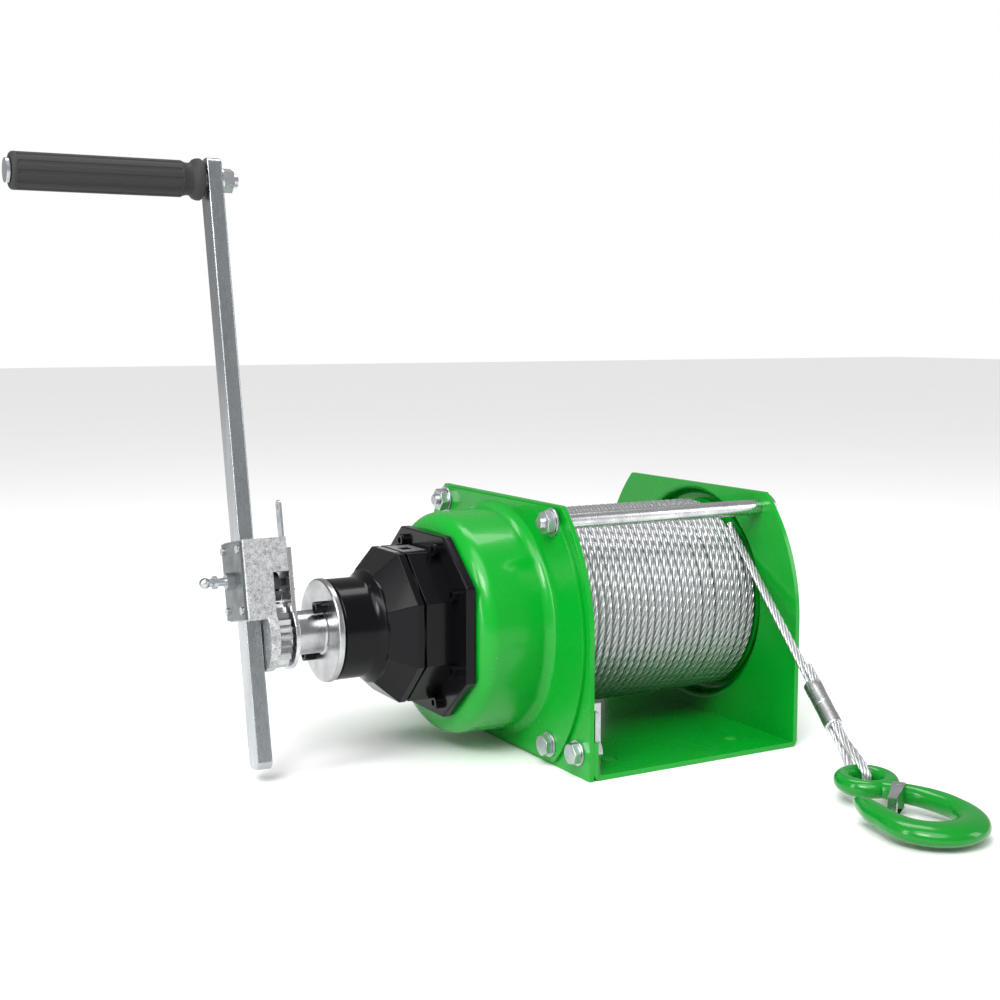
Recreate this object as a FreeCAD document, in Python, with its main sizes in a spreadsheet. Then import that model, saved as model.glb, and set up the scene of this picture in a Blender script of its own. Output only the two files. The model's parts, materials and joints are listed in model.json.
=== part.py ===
"""Hand winch with a planetary drum drive, an automatic friction brake and a sliding ratchet crank.

X runs along the drum axis and points away from the crank, the rope leaves towards -Y and +Z is up.
The origin is on the underside of the base, below the drum axis, midway between the side plates.
Sizes are millimetres. Every alias has an underscore, so a formula can name it without a prefix.
"""
import FreeCAD, Part
import math
import os
import re
import Sketcher

V = FreeCAD.Vector

DIMENSIONS = {
    # frame
    "gap_half": 97, "sheet_thick": 4, "cover_thick": 3, "plate_half": 140, "plate_top": 206,
    "arc_height": "=plate_top - 101", "axis_height": 108, "bend_radius": 6, "flange_rise": 30,
    "base_hole_x": 60, "base_hole_y": 105, "base_hole_radius": 6.5,
    "dish_radius": 91, "dish_depth": 12, "bearing_radius": 16,
    "rod_y": 89, "rod_z": 193, "rod_radius": 6.5, "bolt_radius": 5,
    "low_bolt_y": 86, "low_bolt_z": 17, "end_bolt_y": 123, "end_bolt_z": 19,
    # gear case and gears
    "case_radius": 134, "case_arc_height": 101, "case_top": 204, "case_foot": 4,
    "case_face_x": -164, "case_wall_radius": 91, "case_axis_height": 104, "case_bore": 26,
    "gear_module": 2, "sun_teeth": 12, "planet_teeth": 30, "ring_outer": 78,
    "gear_x": -151, "gear_width": 18, "pin_radius": 6,
    # brake housing
    "flange_half_y": 78, "flange_half_z": 72, "flange_corner": 37, "flange_thick": 8,
    "body_radius": 64, "body_length": 36, "body_apothem": 59, "nose_length": 14, "nose_radius": 52,
    "neck_radius": 39.5, "neck_end_x": -254.5, "cavity_radius": 54, "screw_circle": 68,
    # drum and rope
    "barrel_radius": 60, "barrel_half": 92, "barrel_end": "=gap_half + dish_depth - 3",
    "drum_flange_radius": 88,
    "winding_radius": 84, "winding_start": "=-barrel_half + 3", "winding_end": "=barrel_end - 2.5",
    "rope_radius": 3.5, "tail_x": "=winding_end - rope_radius",
    # input shaft and crank
    "shaft_radius": 9, "disc_radius": 40.5, "disc_thick": 5.5, "hub_radius": 17, "hub_end_x": -285.8,
    "crank_lean": 11, "wheel_x": -302, "wheel_width": 10, "wheel_radius": 25, "wheel_teeth": 24,
    "bar_width": 20, "bar_thick": 12, "bar_x": -323, "bar_up": 369, "bar_down": 99,
    "grip_length": 142, "grip_radius": 14, "grip_collar": 16, "plunger_z": 44, "selector_z": 40,
    # rope end and hook
    "eye_x": 48.7, "eye_y": -276.8, "eye_z": 15.6, "eye_ring": 17, "eye_bar": 6.5,
    "hook_yaw": 10, "hook_tilt": 2.9, "hook_scale": 1.06,
}

doc = FreeCAD.newDocument("HandWinch")
sheet = doc.addObject("Spreadsheet::Sheet", "dims")
for row, (alias, size) in enumerate(DIMENSIONS.items(), start=1):
    sheet.set(f"A{row}", alias)
    sheet.set(f"B{row}", str(size))
    sheet.setAlias(f"B{row}", alias)
doc.recompute()

TURNS = {
    "X": FreeCAD.Rotation(V(0, 1, 0), 90),
    "Y": FreeCAD.Rotation(V(1, 0, 0), -90),
    "Z": FreeCAD.Rotation(),
}
AXIS_VECTORS = {"X": V(1, 0, 0), "Y": V(0, 1, 0), "Z": V(0, 0, 1)}
AXIS_Z = "axis_height"
nodes = []


def linked(text):
    """A formula with every alias pointed at the sheet."""
    return re.sub(r"[a-z]+(?:_[a-z0-9]+)+", lambda word: "dims." + word.group(0), str(text))


def number(text):
    """The value of a formula now."""
    return float(sheet.evalExpression(linked(text)))


def bind(obj, **formulas):
    """Ties properties of obj to formulas. A double underscore in a name stands for a dot."""
    for name, text in formulas.items():
        obj.setExpression(name.replace("__", "."), linked(text))


def place(obj, x="0", y="0", z="0", axis="Z"):
    """Turns obj from +Z to the axis and ties its place to the sheet."""
    obj.Placement = FreeCAD.Placement(V(number(x), number(y), number(z)), TURNS[axis])
    bind(obj, Placement__Base__x=x, Placement__Base__y=y, Placement__Base__z=z)
    return obj


def cylinder(axis, radius, length, x="0", y="0", z="0"):
    """A round bar from the point (x, y, z) along the axis."""
    obj = doc.addObject("Part::Cylinder", "Cylinder")
    bind(obj, Radius=radius, Height=length)
    return place(obj, x, y, z, axis)


def cone(axis, radius_1, radius_2, length, x="0", y="0", z="0"):
    """A tapered bar from the point (x, y, z) along the axis."""
    obj = doc.addObject("Part::Cone", "Cone")
    bind(obj, Radius1=radius_1, Radius2=radius_2, Height=length)
    return place(obj, x, y, z, axis)


def box(size_x, size_y, size_z, x="0", y="0", z="0"):
    """A block with its lowest corner at (x, y, z)."""
    obj = doc.addObject("Part::Box", "Box")
    bind(obj, Length=size_x, Width=size_y, Height=size_z)
    return place(obj, x, y, z)


def prism(axis, sides, radius, length, x="0", y="0", z="0"):
    """A regular prism, radius to its corners, from the point (x, y, z) along the axis."""
    obj = doc.addObject("Part::Prism", "Prism")
    obj.Polygon = sides
    bind(obj, Circumradius=radius, Height=length)
    return place(obj, x, y, z, axis)


def ball(radius, x="0", y="0", z="0"):
    """A sphere about (x, y, z)."""
    obj = doc.addObject("Part::Sphere", "Sphere")
    bind(obj, Radius=radius)
    return place(obj, x, y, z)


def fuse(*parts):
    """One solid from several."""
    obj = doc.addObject("Part::MultiFuse", "Fuse")
    obj.Shapes = list(parts)
    obj.Refine = True
    return obj


def group(*parts):
    """Separate solids kept together."""
    obj = doc.addObject("Part::Compound", "Group")
    obj.Links = list(parts)
    return obj


def cut(base, *tools):
    """base less the tools."""
    obj = doc.addObject("Part::Cut", "Cut")
    obj.Base = base
    obj.Tool = tools[0] if len(tools) == 1 else group(*tools)
    return obj


def common(first, second):
    """What two solids share."""
    obj = doc.addObject("Part::MultiCommon", "Common")
    obj.Shapes = [first, second]
    return obj


def rounded(base, radius, chosen):
    """base with the edges that chosen() picks rounded."""
    doc.recompute()
    picked = [i for i, edge in enumerate(base.Shape.Edges, start=1) if chosen(edge)]
    obj = doc.addObject("Part::Fillet", "Fillet")
    obj.Base = base
    obj.Edges = [(i, number(radius), number(radius)) for i in picked]
    return obj


def tube(axis, outer, inner, length, x="0", y="0", z="0"):
    """A round bar with a hole down it."""
    return cut(cylinder(axis, outer, length, x, y, z), cylinder(axis, inner, length, x, y, z))


def node(label, obj):
    """Names a finished sub-part and lists it for export."""
    obj.Label = label
    nodes.append(obj)
    return obj


def leaned(label, *parts):
    """A finished sub-part of the crank: drawn upright about the axis at z = 0, then leaned and lifted."""
    obj = group(*parts)
    obj.Placement = FreeCAD.Placement(V(0, 0, number(AXIS_Z)),
                                      FreeCAD.Rotation(V(1, 0, 0), -number("crank_lean")))
    bind(obj, Placement__Base__z=AXIS_Z, Placement__Rotation__Angle="crank_lean * 1 deg")
    obj.Placement.Rotation = FreeCAD.Rotation(V(-1, 0, 0), number("crank_lean"))
    return node(label, obj)


def body(label):
    """An empty PartDesign body."""
    return doc.addObject("PartDesign::Body", label)


def sketch(owner, plane, offset="0", shift="0"):
    """A sketch on an origin plane of owner, moved along its normal by offset and up by shift."""
    obj = owner.newObject("Sketcher::SketchObject", "Sketch")
    support = [f for f in owner.Origin.OriginFeatures if f.Role == plane + "_Plane"][0]
    obj.AttachmentSupport = [(support, "")]
    obj.MapMode = "FlatFace"
    obj.AttachmentOffset = FreeCAD.Placement(V(0, number(shift), number(offset)), FreeCAD.Rotation())
    bind(obj, AttachmentOffset__Base__y=shift, AttachmentOffset__Base__z=offset)
    return obj


def pin(obj, geometry, point, u, v):
    """Fixes one point of a sketch at (u, v)."""
    for kind, text in (("DistanceX", u), ("DistanceY", v)):
        index = obj.addConstraint(Sketcher.Constraint(kind, -1, 1, geometry, point, number(text)))
        obj.setExpression(f"Constraints[{index}]", linked(text))


def outline(obj, corners):
    """Closes a chain through corners (u, v) or (u, v, radius).

    A radius bends the stretch that ends at that corner, anticlockwise if it is positive.
    """
    first = obj.GeometryCount
    ends = []
    for i, corner in enumerate(corners):
        here = V(number(corners[i - 1][0]), number(corners[i - 1][1]), 0)
        there = V(number(corner[0]), number(corner[1]), 0)
        if len(corner) == 2:
            obj.addGeometry(Part.LineSegment(here, there))
            ends.append((1, 2))
            continue
        radius = number(corner[2])
        chord = there - here
        side = V(-chord.y, chord.x, 0).normalize() * math.copysign(1, radius)
        centre = (here + there) * 0.5 + side * math.sqrt(radius ** 2 - chord.Length ** 2 / 4)
        middle = centre - side * abs(radius)
        points = (here, middle, there) if radius > 0 else (there, middle, here)
        index = obj.addGeometry(Part.Arc(*points))
        ends.append((1, 2) if radius > 0 else (2, 1))
        size = obj.addConstraint(Sketcher.Constraint("Radius", index, abs(radius)))
        obj.setExpression(f"Constraints[{size}]", linked(f"abs({corner[2]})"))
    for i, corner in enumerate(corners):
        after = (i + 1) % len(corners)
        obj.addConstraint(Sketcher.Constraint(
            "Coincident", first + i, ends[i][1], first + after, ends[after][0]))
        pin(obj, first + i, ends[i][1], corner[0], corner[1])


def hole(obj, u, v, radius):
    """A circle in a sketch."""
    index = obj.addGeometry(Part.Circle(V(number(u), number(v), 0), V(0, 0, 1), number(radius)))
    pin(obj, index, 3, u, v)
    size = obj.addConstraint(Sketcher.Constraint("Radius", index, number(radius)))
    obj.setExpression(f"Constraints[{size}]", linked(radius))


def pad(owner, drawn, length):
    """Thickens a sketch along its normal."""
    obj = owner.newObject("PartDesign::Pad", "Pad")
    obj.Profile = drawn
    bind(obj, Length=length)
    return obj


def revolve(owner, drawn):
    """Turns a sketch about its own horizontal axis."""
    obj = owner.newObject("PartDesign::Revolution", "Revolution")
    obj.Profile = drawn
    obj.ReferenceAxis = (drawn, ["H_Axis"])
    obj.Angle = 360
    return obj


def turned(label, corners, height=AXIS_Z):
    """A sub-part turned about an axis along X at that height, from corners (x, radius)."""
    obj = body(label)
    drawn = sketch(obj, "XZ", shift=height)
    outline(drawn, corners)
    revolve(obj, drawn)
    return obj


def plate_outline(drawn, foot):
    """The side plates' shape: upright edges, round shoulders and a flat top."""
    top = "sqrt(plate_half ^ 2 - (plate_top - arc_height) ^ 2)"
    outline(drawn, [("-plate_half", foot), ("plate_half", foot), ("plate_half", "arc_height"),
                    (top, "plate_top", "plate_half"), ("-(" + top + ")", "plate_top"),
                    ("-plate_half", "arc_height", "plate_half")])


def frame_shell():
    """One bent sheet: base, right side plate with its pressed bearing dish, and the left flange."""
    obj = body("bent_sheet")
    plate = sketch(obj, "YZ", "gap_half")
    plate_outline(plate, "0")
    hole(plate, "0", AXIS_Z, "dish_radius + 4")
    hole(plate, "-rod_y", "rod_z", "bolt_radius + 0.3")
    pad(obj, plate, "sheet_thick")
    base = sketch(obj, "XY")
    outline(base, [("-gap_half", "-plate_half"), ("gap_half + 1", "-plate_half"),
                   ("gap_half + 1", "plate_half"), ("-gap_half", "plate_half")])
    for side in ("-1", "1"):
        for sign in ("-1", "1"):
            hole(base, f"{side} * base_hole_x", f"{sign} * base_hole_y", "base_hole_radius")
    pad(obj, base, "sheet_thick")
    flange = sketch(obj, "YZ", "-gap_half")
    outline(flange, [("-plate_half", "0"), ("plate_half", "0"), ("plate_half", "flange_rise"),
                     ("-plate_half", "flange_rise")])
    for sign in ("-1", "1"):
        hole(flange, f"{sign} * low_bolt_y", "low_bolt_z", "bolt_radius + 0.3")
        hole(flange, f"{sign} * end_bolt_y", "end_bolt_z", "bolt_radius + 0.3")
    pad(obj, flange, "sheet_thick")
    doc.recompute()

    def outer_bend(edge):
        box_ = edge.BoundBox
        right_side = abs(box_.XMin - number("gap_half + sheet_thick")) < 1e-6
        left_side = abs(box_.XMin + number("gap_half")) < 1e-6
        return box_.YLength > number("plate_half") and box_.ZMax < 1e-6 and (right_side or left_side)

    picked = [f"Edge{i}" for i, edge in enumerate(obj.Shape.Edges, start=1) if outer_bend(edge)]
    sharp = obj.Tip
    bend = obj.newObject("PartDesign::Fillet", "Bend")
    bend.Base = (sharp, picked)
    bind(bend, Radius="bend_radius")
    floor_x = "gap_half + dish_depth"
    dish = turned("bearing_dish", [
        ("gap_half", "dish_radius + 5"), ("gap_half + 5", "dish_radius", "5"),
        (floor_x + " - 5", "dish_radius"), (floor_x, "dish_radius - 5", "-5"),
        (floor_x, "bearing_radius"), (floor_x + " + sheet_thick", "bearing_radius"),
        (floor_x + " + sheet_thick", "dish_radius - 5"), (floor_x + " - 5", "dish_radius + 4", "9"),
        ("gap_half + sheet_thick + 1", "dish_radius + 4"),
        ("gap_half + sheet_thick", "dish_radius + 5", "-1")])
    screw_holes = [cylinder("X", "3.05", "20", "gap_half", u, v) for u, v in cap_screw_places()]
    node("frame_shell", cut(fuse(obj, dish), *screw_holes))


def cap_screw_places():
    """Centres of the bearing cap's screws, (y, z) formulas."""
    return [(f"30 * {math.cos(math.radians(a)):.6f}", f"{AXIS_Z} + 30 * {math.sin(math.radians(a)):.6f}")
            for a in (45, 135, 225, 315)]


def left_side_plate():
    """Flat plate behind the gear case, bored for the drum's journal."""
    obj = body("left_side_plate")
    plate = sketch(obj, "YZ", "-gap_half - sheet_thick")
    plate_outline(plate, "0")
    hole(plate, "0", AXIS_Z, "56")
    for sign in ("-1", "1"):
        hole(plate, f"{sign} * rod_y", "rod_z", "bolt_radius + 0.3")
        hole(plate, f"{sign} * low_bolt_y", "low_bolt_z", "bolt_radius + 0.3")
        hole(plate, f"{sign} * end_bolt_y", "end_bolt_z", "bolt_radius + 0.3")
    pad(obj, plate, "sheet_thick")
    node("left_side_plate", obj)


def gear_case():
    """Pressed bell over the planetary gears, with a flat flange on the left plate."""
    back = "-gap_half - sheet_thick"
    front = "-gap_half - sheet_thick - cover_thick"
    foot = "sqrt(case_radius ^ 2 - (case_arc_height - case_foot) ^ 2)"
    top = "sqrt(case_radius ^ 2 - (case_top - case_arc_height) ^ 2)"
    flange = body("case_flange")
    rim = sketch(flange, "YZ", front)
    outline(rim, [("-(" + foot + ")", "case_foot", "case_radius"), (foot, "case_foot"),
                  (top, "case_top", "case_radius"), ("-(" + top + ")", "case_top")])
    hole(rim, "0", "case_axis_height", "case_wall_radius + 5")
    for sign in ("-1", "1"):
        hole(rim, f"{sign} * rod_y", "rod_z", "bolt_radius + 0.3")
        hole(rim, f"{sign} * low_bolt_y", "low_bolt_z", "bolt_radius + 0.3")
    pad(flange, rim, "cover_thick")
    corner = "case_face_x + 14"
    bell = turned("case_bell", [
        (back, "case_wall_radius + 6"), (front, "case_wall_radius + 6"),
        (front + " - 9", "case_wall_radius", "-10"), (corner, "case_wall_radius - 1"),
        ("case_face_x", "case_wall_radius - 15", "14"), ("case_face_x", "case_bore"),
        ("case_face_x + cover_thick", "case_bore"), ("case_face_x + cover_thick", "case_wall_radius - 15"),
        (corner, "case_wall_radius - 4", "-11"), (front + " - 9", "case_wall_radius - 3"),
        (back, "case_wall_radius + 2", "13")], "case_axis_height")
    screws = [cylinder("X", "3.2", "cover_thick + 4", "case_face_x - 2", u, v) for u, v in screw_places()]
    node("gear_case", cut(fuse(flange, bell), *screws))


def screw_places():
    """Centres of the flange screws, (y, z) formulas."""
    places = []
    for corner in range(4):
        for spread in (-1, 1):
            angle = 45 + 90 * corner + spread * 19
            places.append((f"screw_circle * {math.cos(math.radians(angle)):.6f}",
                           f"{AXIS_Z} + screw_circle * {math.sin(math.radians(angle)):.6f}"))
    return places


def brake_housing():
    """Cast housing: octagonal flange, faceted body, tapered nose and bearing neck, hollow inside."""
    flange_x = "case_face_x - flange_thick - 0.6"
    body_x = "case_face_x - flange_thick - 0.6 - body_length"
    nose_x = "case_face_x - flange_thick - 0.6 - body_length - nose_length"
    flange = body("housing_flange")
    drawn = sketch(flange, "YZ", flange_x)
    half = "flange_corner"
    outline(drawn, [(f"-{half}", f"{AXIS_Z} - flange_half_z"), (half, f"{AXIS_Z} - flange_half_z"),
                    ("flange_half_y", f"{AXIS_Z} - {half}"), ("flange_half_y", f"{AXIS_Z} + {half}"),
                    (half, f"{AXIS_Z} + flange_half_z"), (f"-{half}", f"{AXIS_Z} + flange_half_z"),
                    ("-flange_half_y", f"{AXIS_Z} + {half}"), ("-flange_half_y", f"{AXIS_Z} - {half}")])
    for u, v in screw_places():
        hole(drawn, u, v, "3.2")
    pad(flange, drawn, "flange_thick")
    eighth = prism("X", 8, "body_apothem / cos(22.5 deg)", "body_length + nose_length + 1",
                   nose_x, "0", AXIS_Z)
    eighth.Placement.Rotation = FreeCAD.Rotation(V(1, 0, 0), 22.5).multiply(TURNS["X"])
    round_body = turned("housing_round", [
        (flange_x + " + 1", "0"), (flange_x + " + 1", "body_radius"), (body_x, "body_radius"),
        (nose_x, "nose_radius"), (nose_x, "0")])
    barrel = common(round_body, eighth)
    neck = turned("housing_neck", [
        (nose_x + " + 2", "0"), (nose_x + " + 2", "nose_radius - 3"), (nose_x + " - 3", "nose_radius - 5"),
        (nose_x + " - 5", "neck_radius + 2"), (nose_x + " - 7", "neck_radius", "-2"),
        ("neck_end_x + 1", "neck_radius"), ("neck_end_x", "neck_radius - 1"), ("neck_end_x", "0")])
    cavity = turned("housing_cavity", [
        ("case_face_x", "0"), ("case_face_x", "cavity_radius"), (body_x + " + 4", "cavity_radius"),
        (nose_x + " + 4", "nose_radius - 12"), (nose_x + " + 4", "20"), ("neck_end_x + 4", "20"),
        ("neck_end_x + 4", "shaft_radius + 6"), ("neck_end_x - 1", "shaft_radius + 6"),
        ("neck_end_x - 1", "0")])
    node("brake_housing", cut(fuse(flange, barrel, neck), cavity))
    gasket = body("flange_gasket")
    drawn = sketch(gasket, "YZ", "case_face_x - 0.6")
    low, high = f"{AXIS_Z} - flange_half_z + 2", f"{AXIS_Z} + flange_half_z - 2"
    under, over = f"{AXIS_Z} - {half} + 1", f"{AXIS_Z} + {half} - 1"
    outline(drawn, [(f"-{half} + 1", low), (f"{half} - 1", low),
                    ("flange_half_y - 2", under), ("flange_half_y - 2", over),
                    (f"{half} - 1", high), (f"-{half} + 1", high),
                    ("-flange_half_y + 2", over), ("-flange_half_y + 2", under)])
    hole(drawn, "0", AXIS_Z, "cavity_radius")
    for u, v in screw_places():
        hole(drawn, u, v, "3.2")
    pad(gasket, drawn, "0.6")
    node("flange_gasket", gasket)
    screws = []
    for u, v in screw_places():
        head = cut(cylinder("X", "5", "5", flange_x + " - 5", u, v),
                   prism("X", 6, "2.9", "3", flange_x + " - 5", u, v))
        screws.append(fuse(head, cylinder("X", "3", "18", flange_x, u, v)))
    node("flange_screws", group(*screws))


def involute(angle):
    """The involute function."""
    return math.tan(angle) - angle


def tooth_wire(teeth, module, inner, outer, half_at_pitch, phase, x):
    """A gear's outline in a plane across X; half_at_pitch is the half angle of what points outward."""
    pressure = math.radians(25)
    pitch_radius = module * teeth / 2
    base_radius = pitch_radius * math.cos(pressure)

    def half(radius):
        start = max(radius, base_radius)
        return half_at_pitch + involute(pressure) - involute(math.acos(base_radius / start))

    def at(radius, angle):
        return V(x, radius * math.cos(angle), radius * math.sin(angle))

    radii = [inner + (outer - inner) * k / 3 for k in range(4)]
    edges = []
    pitch = 2 * math.pi / teeth
    for k in range(teeth):
        centre = phase + k * pitch
        rise = [at(r, centre - half(r)) for r in radii]
        fall = [at(r, centre + half(r)) for r in reversed(radii)]
        curve = Part.BSplineCurve()
        curve.interpolate(rise)
        edges.append(curve.toShape())
        edges.append(Part.Arc(rise[-1], at(outer, centre), fall[0]).toShape())
        curve = Part.BSplineCurve()
        curve.interpolate(fall)
        edges.append(curve.toShape())
        start, end = centre + half(inner), centre + pitch - half(inner)
        edges.append(Part.Arc(fall[-1], at(inner, (start + end) / 2), at(inner, end)).toShape())
    return Part.Wire(edges)


def feature(label, shape, x=0.0, y=0.0, z=0.0):
    """A sub-part from a ready shape, moved to (x, y, z)."""
    obj = doc.addObject("Part::Feature", label)
    obj.Shape = shape
    obj.Placement = FreeCAD.Placement(V(x, y, z), FreeCAD.Rotation()).multiply(shape.Placement)
    return node(label, obj)


def gears():
    """Sun, three planets and the fixed ring, in mesh with a little backlash."""
    module = number("gear_module")
    sun_teeth, planet_teeth = int(number("sun_teeth")), int(number("planet_teeth"))
    ring_teeth = sun_teeth + 2 * planet_teeth
    x, width, axis_z = number("gear_x"), number("gear_width"), number(AXIS_Z)
    addendum, dedendum, backlash = 0.8 * module, 1.08 * module, 0.12

    def external(teeth, phase, bore, start, length):
        half_tooth = math.pi / (2 * teeth) - backlash / (module * teeth)
        wire = tooth_wire(teeth, module, module * teeth / 2 - dedendum, module * teeth / 2 + addendum,
                          half_tooth, phase, start)
        solid = Part.Face(wire).extrude(V(length, 0, 0))
        return solid.cut(Part.makeCylinder(bore, length + 2, V(start - 1, 0, 0), V(1, 0, 0)))

    feature("sun_gear", external(sun_teeth, 0, number("shaft_radius") - 3, x - 1, width + 2), z=axis_z)
    orbit = module * (sun_teeth + planet_teeth) / 2
    for k in range(3):
        angle = 2 * math.pi * k / 3
        gear = external(planet_teeth, math.pi / planet_teeth, number("pin_radius") + 0.05, x, width)
        gear.rotate(V(0, 0, 0), V(1, 0, 0), math.degrees(angle))
        y, z = orbit * math.cos(angle), axis_z + orbit * math.sin(angle)
        feature(f"planet_gear_{k + 1}", gear, y=y, z=z)

    pitch_radius = module * ring_teeth / 2
    half_space = math.pi / (2 * ring_teeth) + backlash / (module * ring_teeth)
    back = number("case_face_x + cover_thick")
    teeth = tooth_wire(ring_teeth, module, pitch_radius - addendum, pitch_radius + dedendum, half_space,
                       math.pi / ring_teeth, x - 1)
    outer = number("ring_outer")
    ring = Part.makeCylinder(outer, x - 1 - back + width + 2, V(back, 0, 0), V(1, 0, 0))
    ring = ring.cut(Part.Face(teeth).extrude(V(width + 4, 0, 0)))
    ring = ring.cut(Part.makeCylinder(58, 40, V(back - 1, 0, 0), V(1, 0, 0)))
    step = Part.makeCylinder(outer + 5, x - 3 - back, V(back, 0, 0), V(1, 0, 0))
    ring = ring.cut(step.cut(Part.makeCylinder(outer - 5.8, x - back, V(back - 1, 0, 0), V(1, 0, 0))))
    for u, v in screw_places():
        ring = ring.cut(Part.makeCylinder(3, 9, V(back - 1, number(u), number(v) - axis_z), V(1, 0, 0)))
    feature("ring_gear", ring, z=axis_z)

    pins = []
    for k in range(3):
        angle = 2 * math.pi * k / 3
        pins.append(cylinder("X", "pin_radius", "gear_width + 14", "gear_x - 1",
                             f"{orbit:.3f} * {math.cos(angle):.6f}",
                             f"{AXIS_Z} + {orbit:.3f} * {math.sin(angle):.6f}"))
    node("planet_pins", group(*pins))
    holes = [cylinder("X", "pin_radius", "20", "gear_x + gear_width + 1",
                      f"{orbit:.3f} * {math.cos(2 * math.pi * k / 3):.6f}",
                      f"{AXIS_Z} + {orbit:.3f} * {math.sin(2 * math.pi * k / 3):.6f}") for k in range(3)]
    carrier = turned("carrier_disc", [
        ("gear_x + gear_width + 2", "14"), ("gear_x + gear_width + 2", "58"),
        ("gear_x + gear_width + 13", "58"), ("gear_x + gear_width + 13", "48"),
        ("-barrel_half", "48"), ("-barrel_half", "14")])
    node("planet_carrier", cut(carrier, *holes))


def drum():
    """Barrel, welded flanges, right journal, bushes and the rope's clamp."""
    node("journal_bush_left", tube("X", "56", "48.05", "6", "-gap_half - sheet_thick - 1", "0", AXIS_Z))
    node("drum_barrel", turned("drum_barrel", [
        ("-barrel_half", "0"), ("-barrel_half", "barrel_radius"), ("barrel_end", "barrel_radius"),
        ("barrel_end", "0"), ("barrel_end - 8", "0"), ("barrel_end - 8", "barrel_radius - 5"),
        ("-barrel_half + 8", "barrel_radius - 5"), ("-barrel_half + 8", "0")]))
    node("drum_flange_left", tube("X", "drum_flange_radius", "barrel_radius", "2.5",
                                  "-barrel_half", "0", AXIS_Z))
    node("drum_flange_right", tube("X", "winding_radius - 1", "barrel_radius", "2",
                                   "barrel_end - 2", "0", AXIS_Z))
    journal = "barrel_end"
    node("drum_journal_right", turned("drum_journal_right", [
        (journal, "0"), (journal, "24"), (journal + " + 1", "24"), (journal + " + 2.5", "12.95"),
        ("gap_half + dish_depth + sheet_thick + 7", "12.95"),
        ("gap_half + dish_depth + sheet_thick + 7", "0")]))
    node("journal_bush_right", tube("X", "bearing_radius", "13", "sheet_thick",
                                    "gap_half + dish_depth", "0", AXIS_Z))
    cap_x = "gap_half + dish_depth + sheet_thick"
    cap = turned("cap_blank", [
        (cap_x, "14"), (cap_x, "36"), (cap_x + " + 3", "36"), (cap_x + " + 3", "24"),
        (cap_x + " + 11", "20"), (cap_x + " + 11", "0"), (cap_x + " + 8", "0"), (cap_x + " + 8", "14")])
    places = cap_screw_places()
    node("bearing_cap", cut(cap, *[cylinder("X", "3.2", "20", "gap_half", u, v) for u, v in places]))
    node("bearing_cap_screws", group(*[
        fuse(prism("X", 6, "5.5", "4", cap_x + " + 3", u, v),
             cylinder("X", "3", "7.3", cap_x + " - 4.2", u, v))
        for u, v in places]))
    node("rope_winding", tube("X", "winding_radius", "barrel_radius + 0.3", "winding_end - winding_start",
                              "winding_start", "0", AXIS_Z))
    inner = "barrel_radius - 5.02"
    clamp = common(box("6", "22", "20", "60", "-11", f"{AXIS_Z} + 40"),
                   cylinder("X", inner, "6", "60", "0", AXIS_Z))
    clamp = cut(clamp, cylinder("X", "rope_radius", "10", "58", "-5", f"{AXIS_Z} + 46"),
                cylinder("X", "2.5", "10", "58", "5", f"{AXIS_Z} + 46"))
    screw = fuse(cylinder("X", "2.5", "6", "60", "5", f"{AXIS_Z} + 46"),
                 prism("X", 6, "4", "3", "66", "5", f"{AXIS_Z} + 46"))
    node("rope_clamp", group(clamp, screw))


def rods_and_bolts():
    """The tie rod across the top, and every hex bolt of the frame."""
    node("tie_rod_front", cylinder("X", "rod_radius", "2 * gap_half", "-gap_half", "-rod_y", "rod_z"))
    left = "-gap_half - sheet_thick - cover_thick"
    right = "gap_half + sheet_thick"
    bolts = [fuse(cylinder("X", "11", "1.6", right, "-rod_y", "rod_z"),
                  prism("X", 6, "9.8", "7", right + " + 1.6", "-rod_y", "rod_z"),
                  cylinder("X", "bolt_radius", "sheet_thick + 10.6", "gap_half", "-rod_y", "rod_z"),
                  cone("X", "bolt_radius", "3.8", "2", right + " + 10.6", "-rod_y", "rod_z"))]
    inner_nut = [prism("X", 6, "9.8", "7", "-gap_half", "rod_y", "rod_z"),
                 cylinder("X", "bolt_radius", "9", "-gap_half", "rod_y", "rod_z")]
    shank = "sheet_thick + cover_thick + 10.6"
    for y, inside in (("-rod_y", []), ("rod_y", inner_nut)):
        bolts.append(fuse(cylinder("X", "11", "1.6", left + " - 1.6", y, "rod_z"),
                          prism("X", 6, "9.8", "7", left + " - 8.6", y, "rod_z"),
                          cone("X", "3.8", "bolt_radius", "2", left + " - 12.6", y, "rod_z"),
                          cylinder("X", "bolt_radius", shank, left + " - 10.6", y, "rod_z"), *inside))
    node("tie_rod_nuts", group(*bolts))
    low = []
    inner = "-gap_half + sheet_thick"
    for sign in ("-1", "1"):
        for y, z, start, inside in (
                (f"{sign} * low_bolt_y", "low_bolt_z", left, inner),
                (f"{sign} * end_bolt_y", "end_bolt_z", left + " + cover_thick", inner + " + 3")):
            low.append(fuse(cylinder("X", "10", "1.5", start + " - 1.5", y, z),
                            prism("X", 6, "8.8", "6", start + " - 7.5", y, z),
                            cylinder("X", "bolt_radius", f"({inside}) - ({start}) + 10", start, y, z),
                            prism("X", 6, "8.8", "7", inside, y, z)))
    node("lower_bolts", group(*low))
    for label, sign in (("corner_bracket_front", "-1"), ("corner_bracket_rear", "1")):
        web = box("3", "26", "48", inner, f"{sign} * (end_bolt_y - 1) - 13", "sheet_thick")
        leg = box("20", "3", "48", inner, f"{sign} * (end_bolt_y - 12.5) - 1.5", "sheet_thick")
        node(label, cut(fuse(web, leg), cylinder("X", "bolt_radius + 0.1", "10", "-gap_half",
                                                 f"{sign} * end_bolt_y", "end_bolt_z")))


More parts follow.
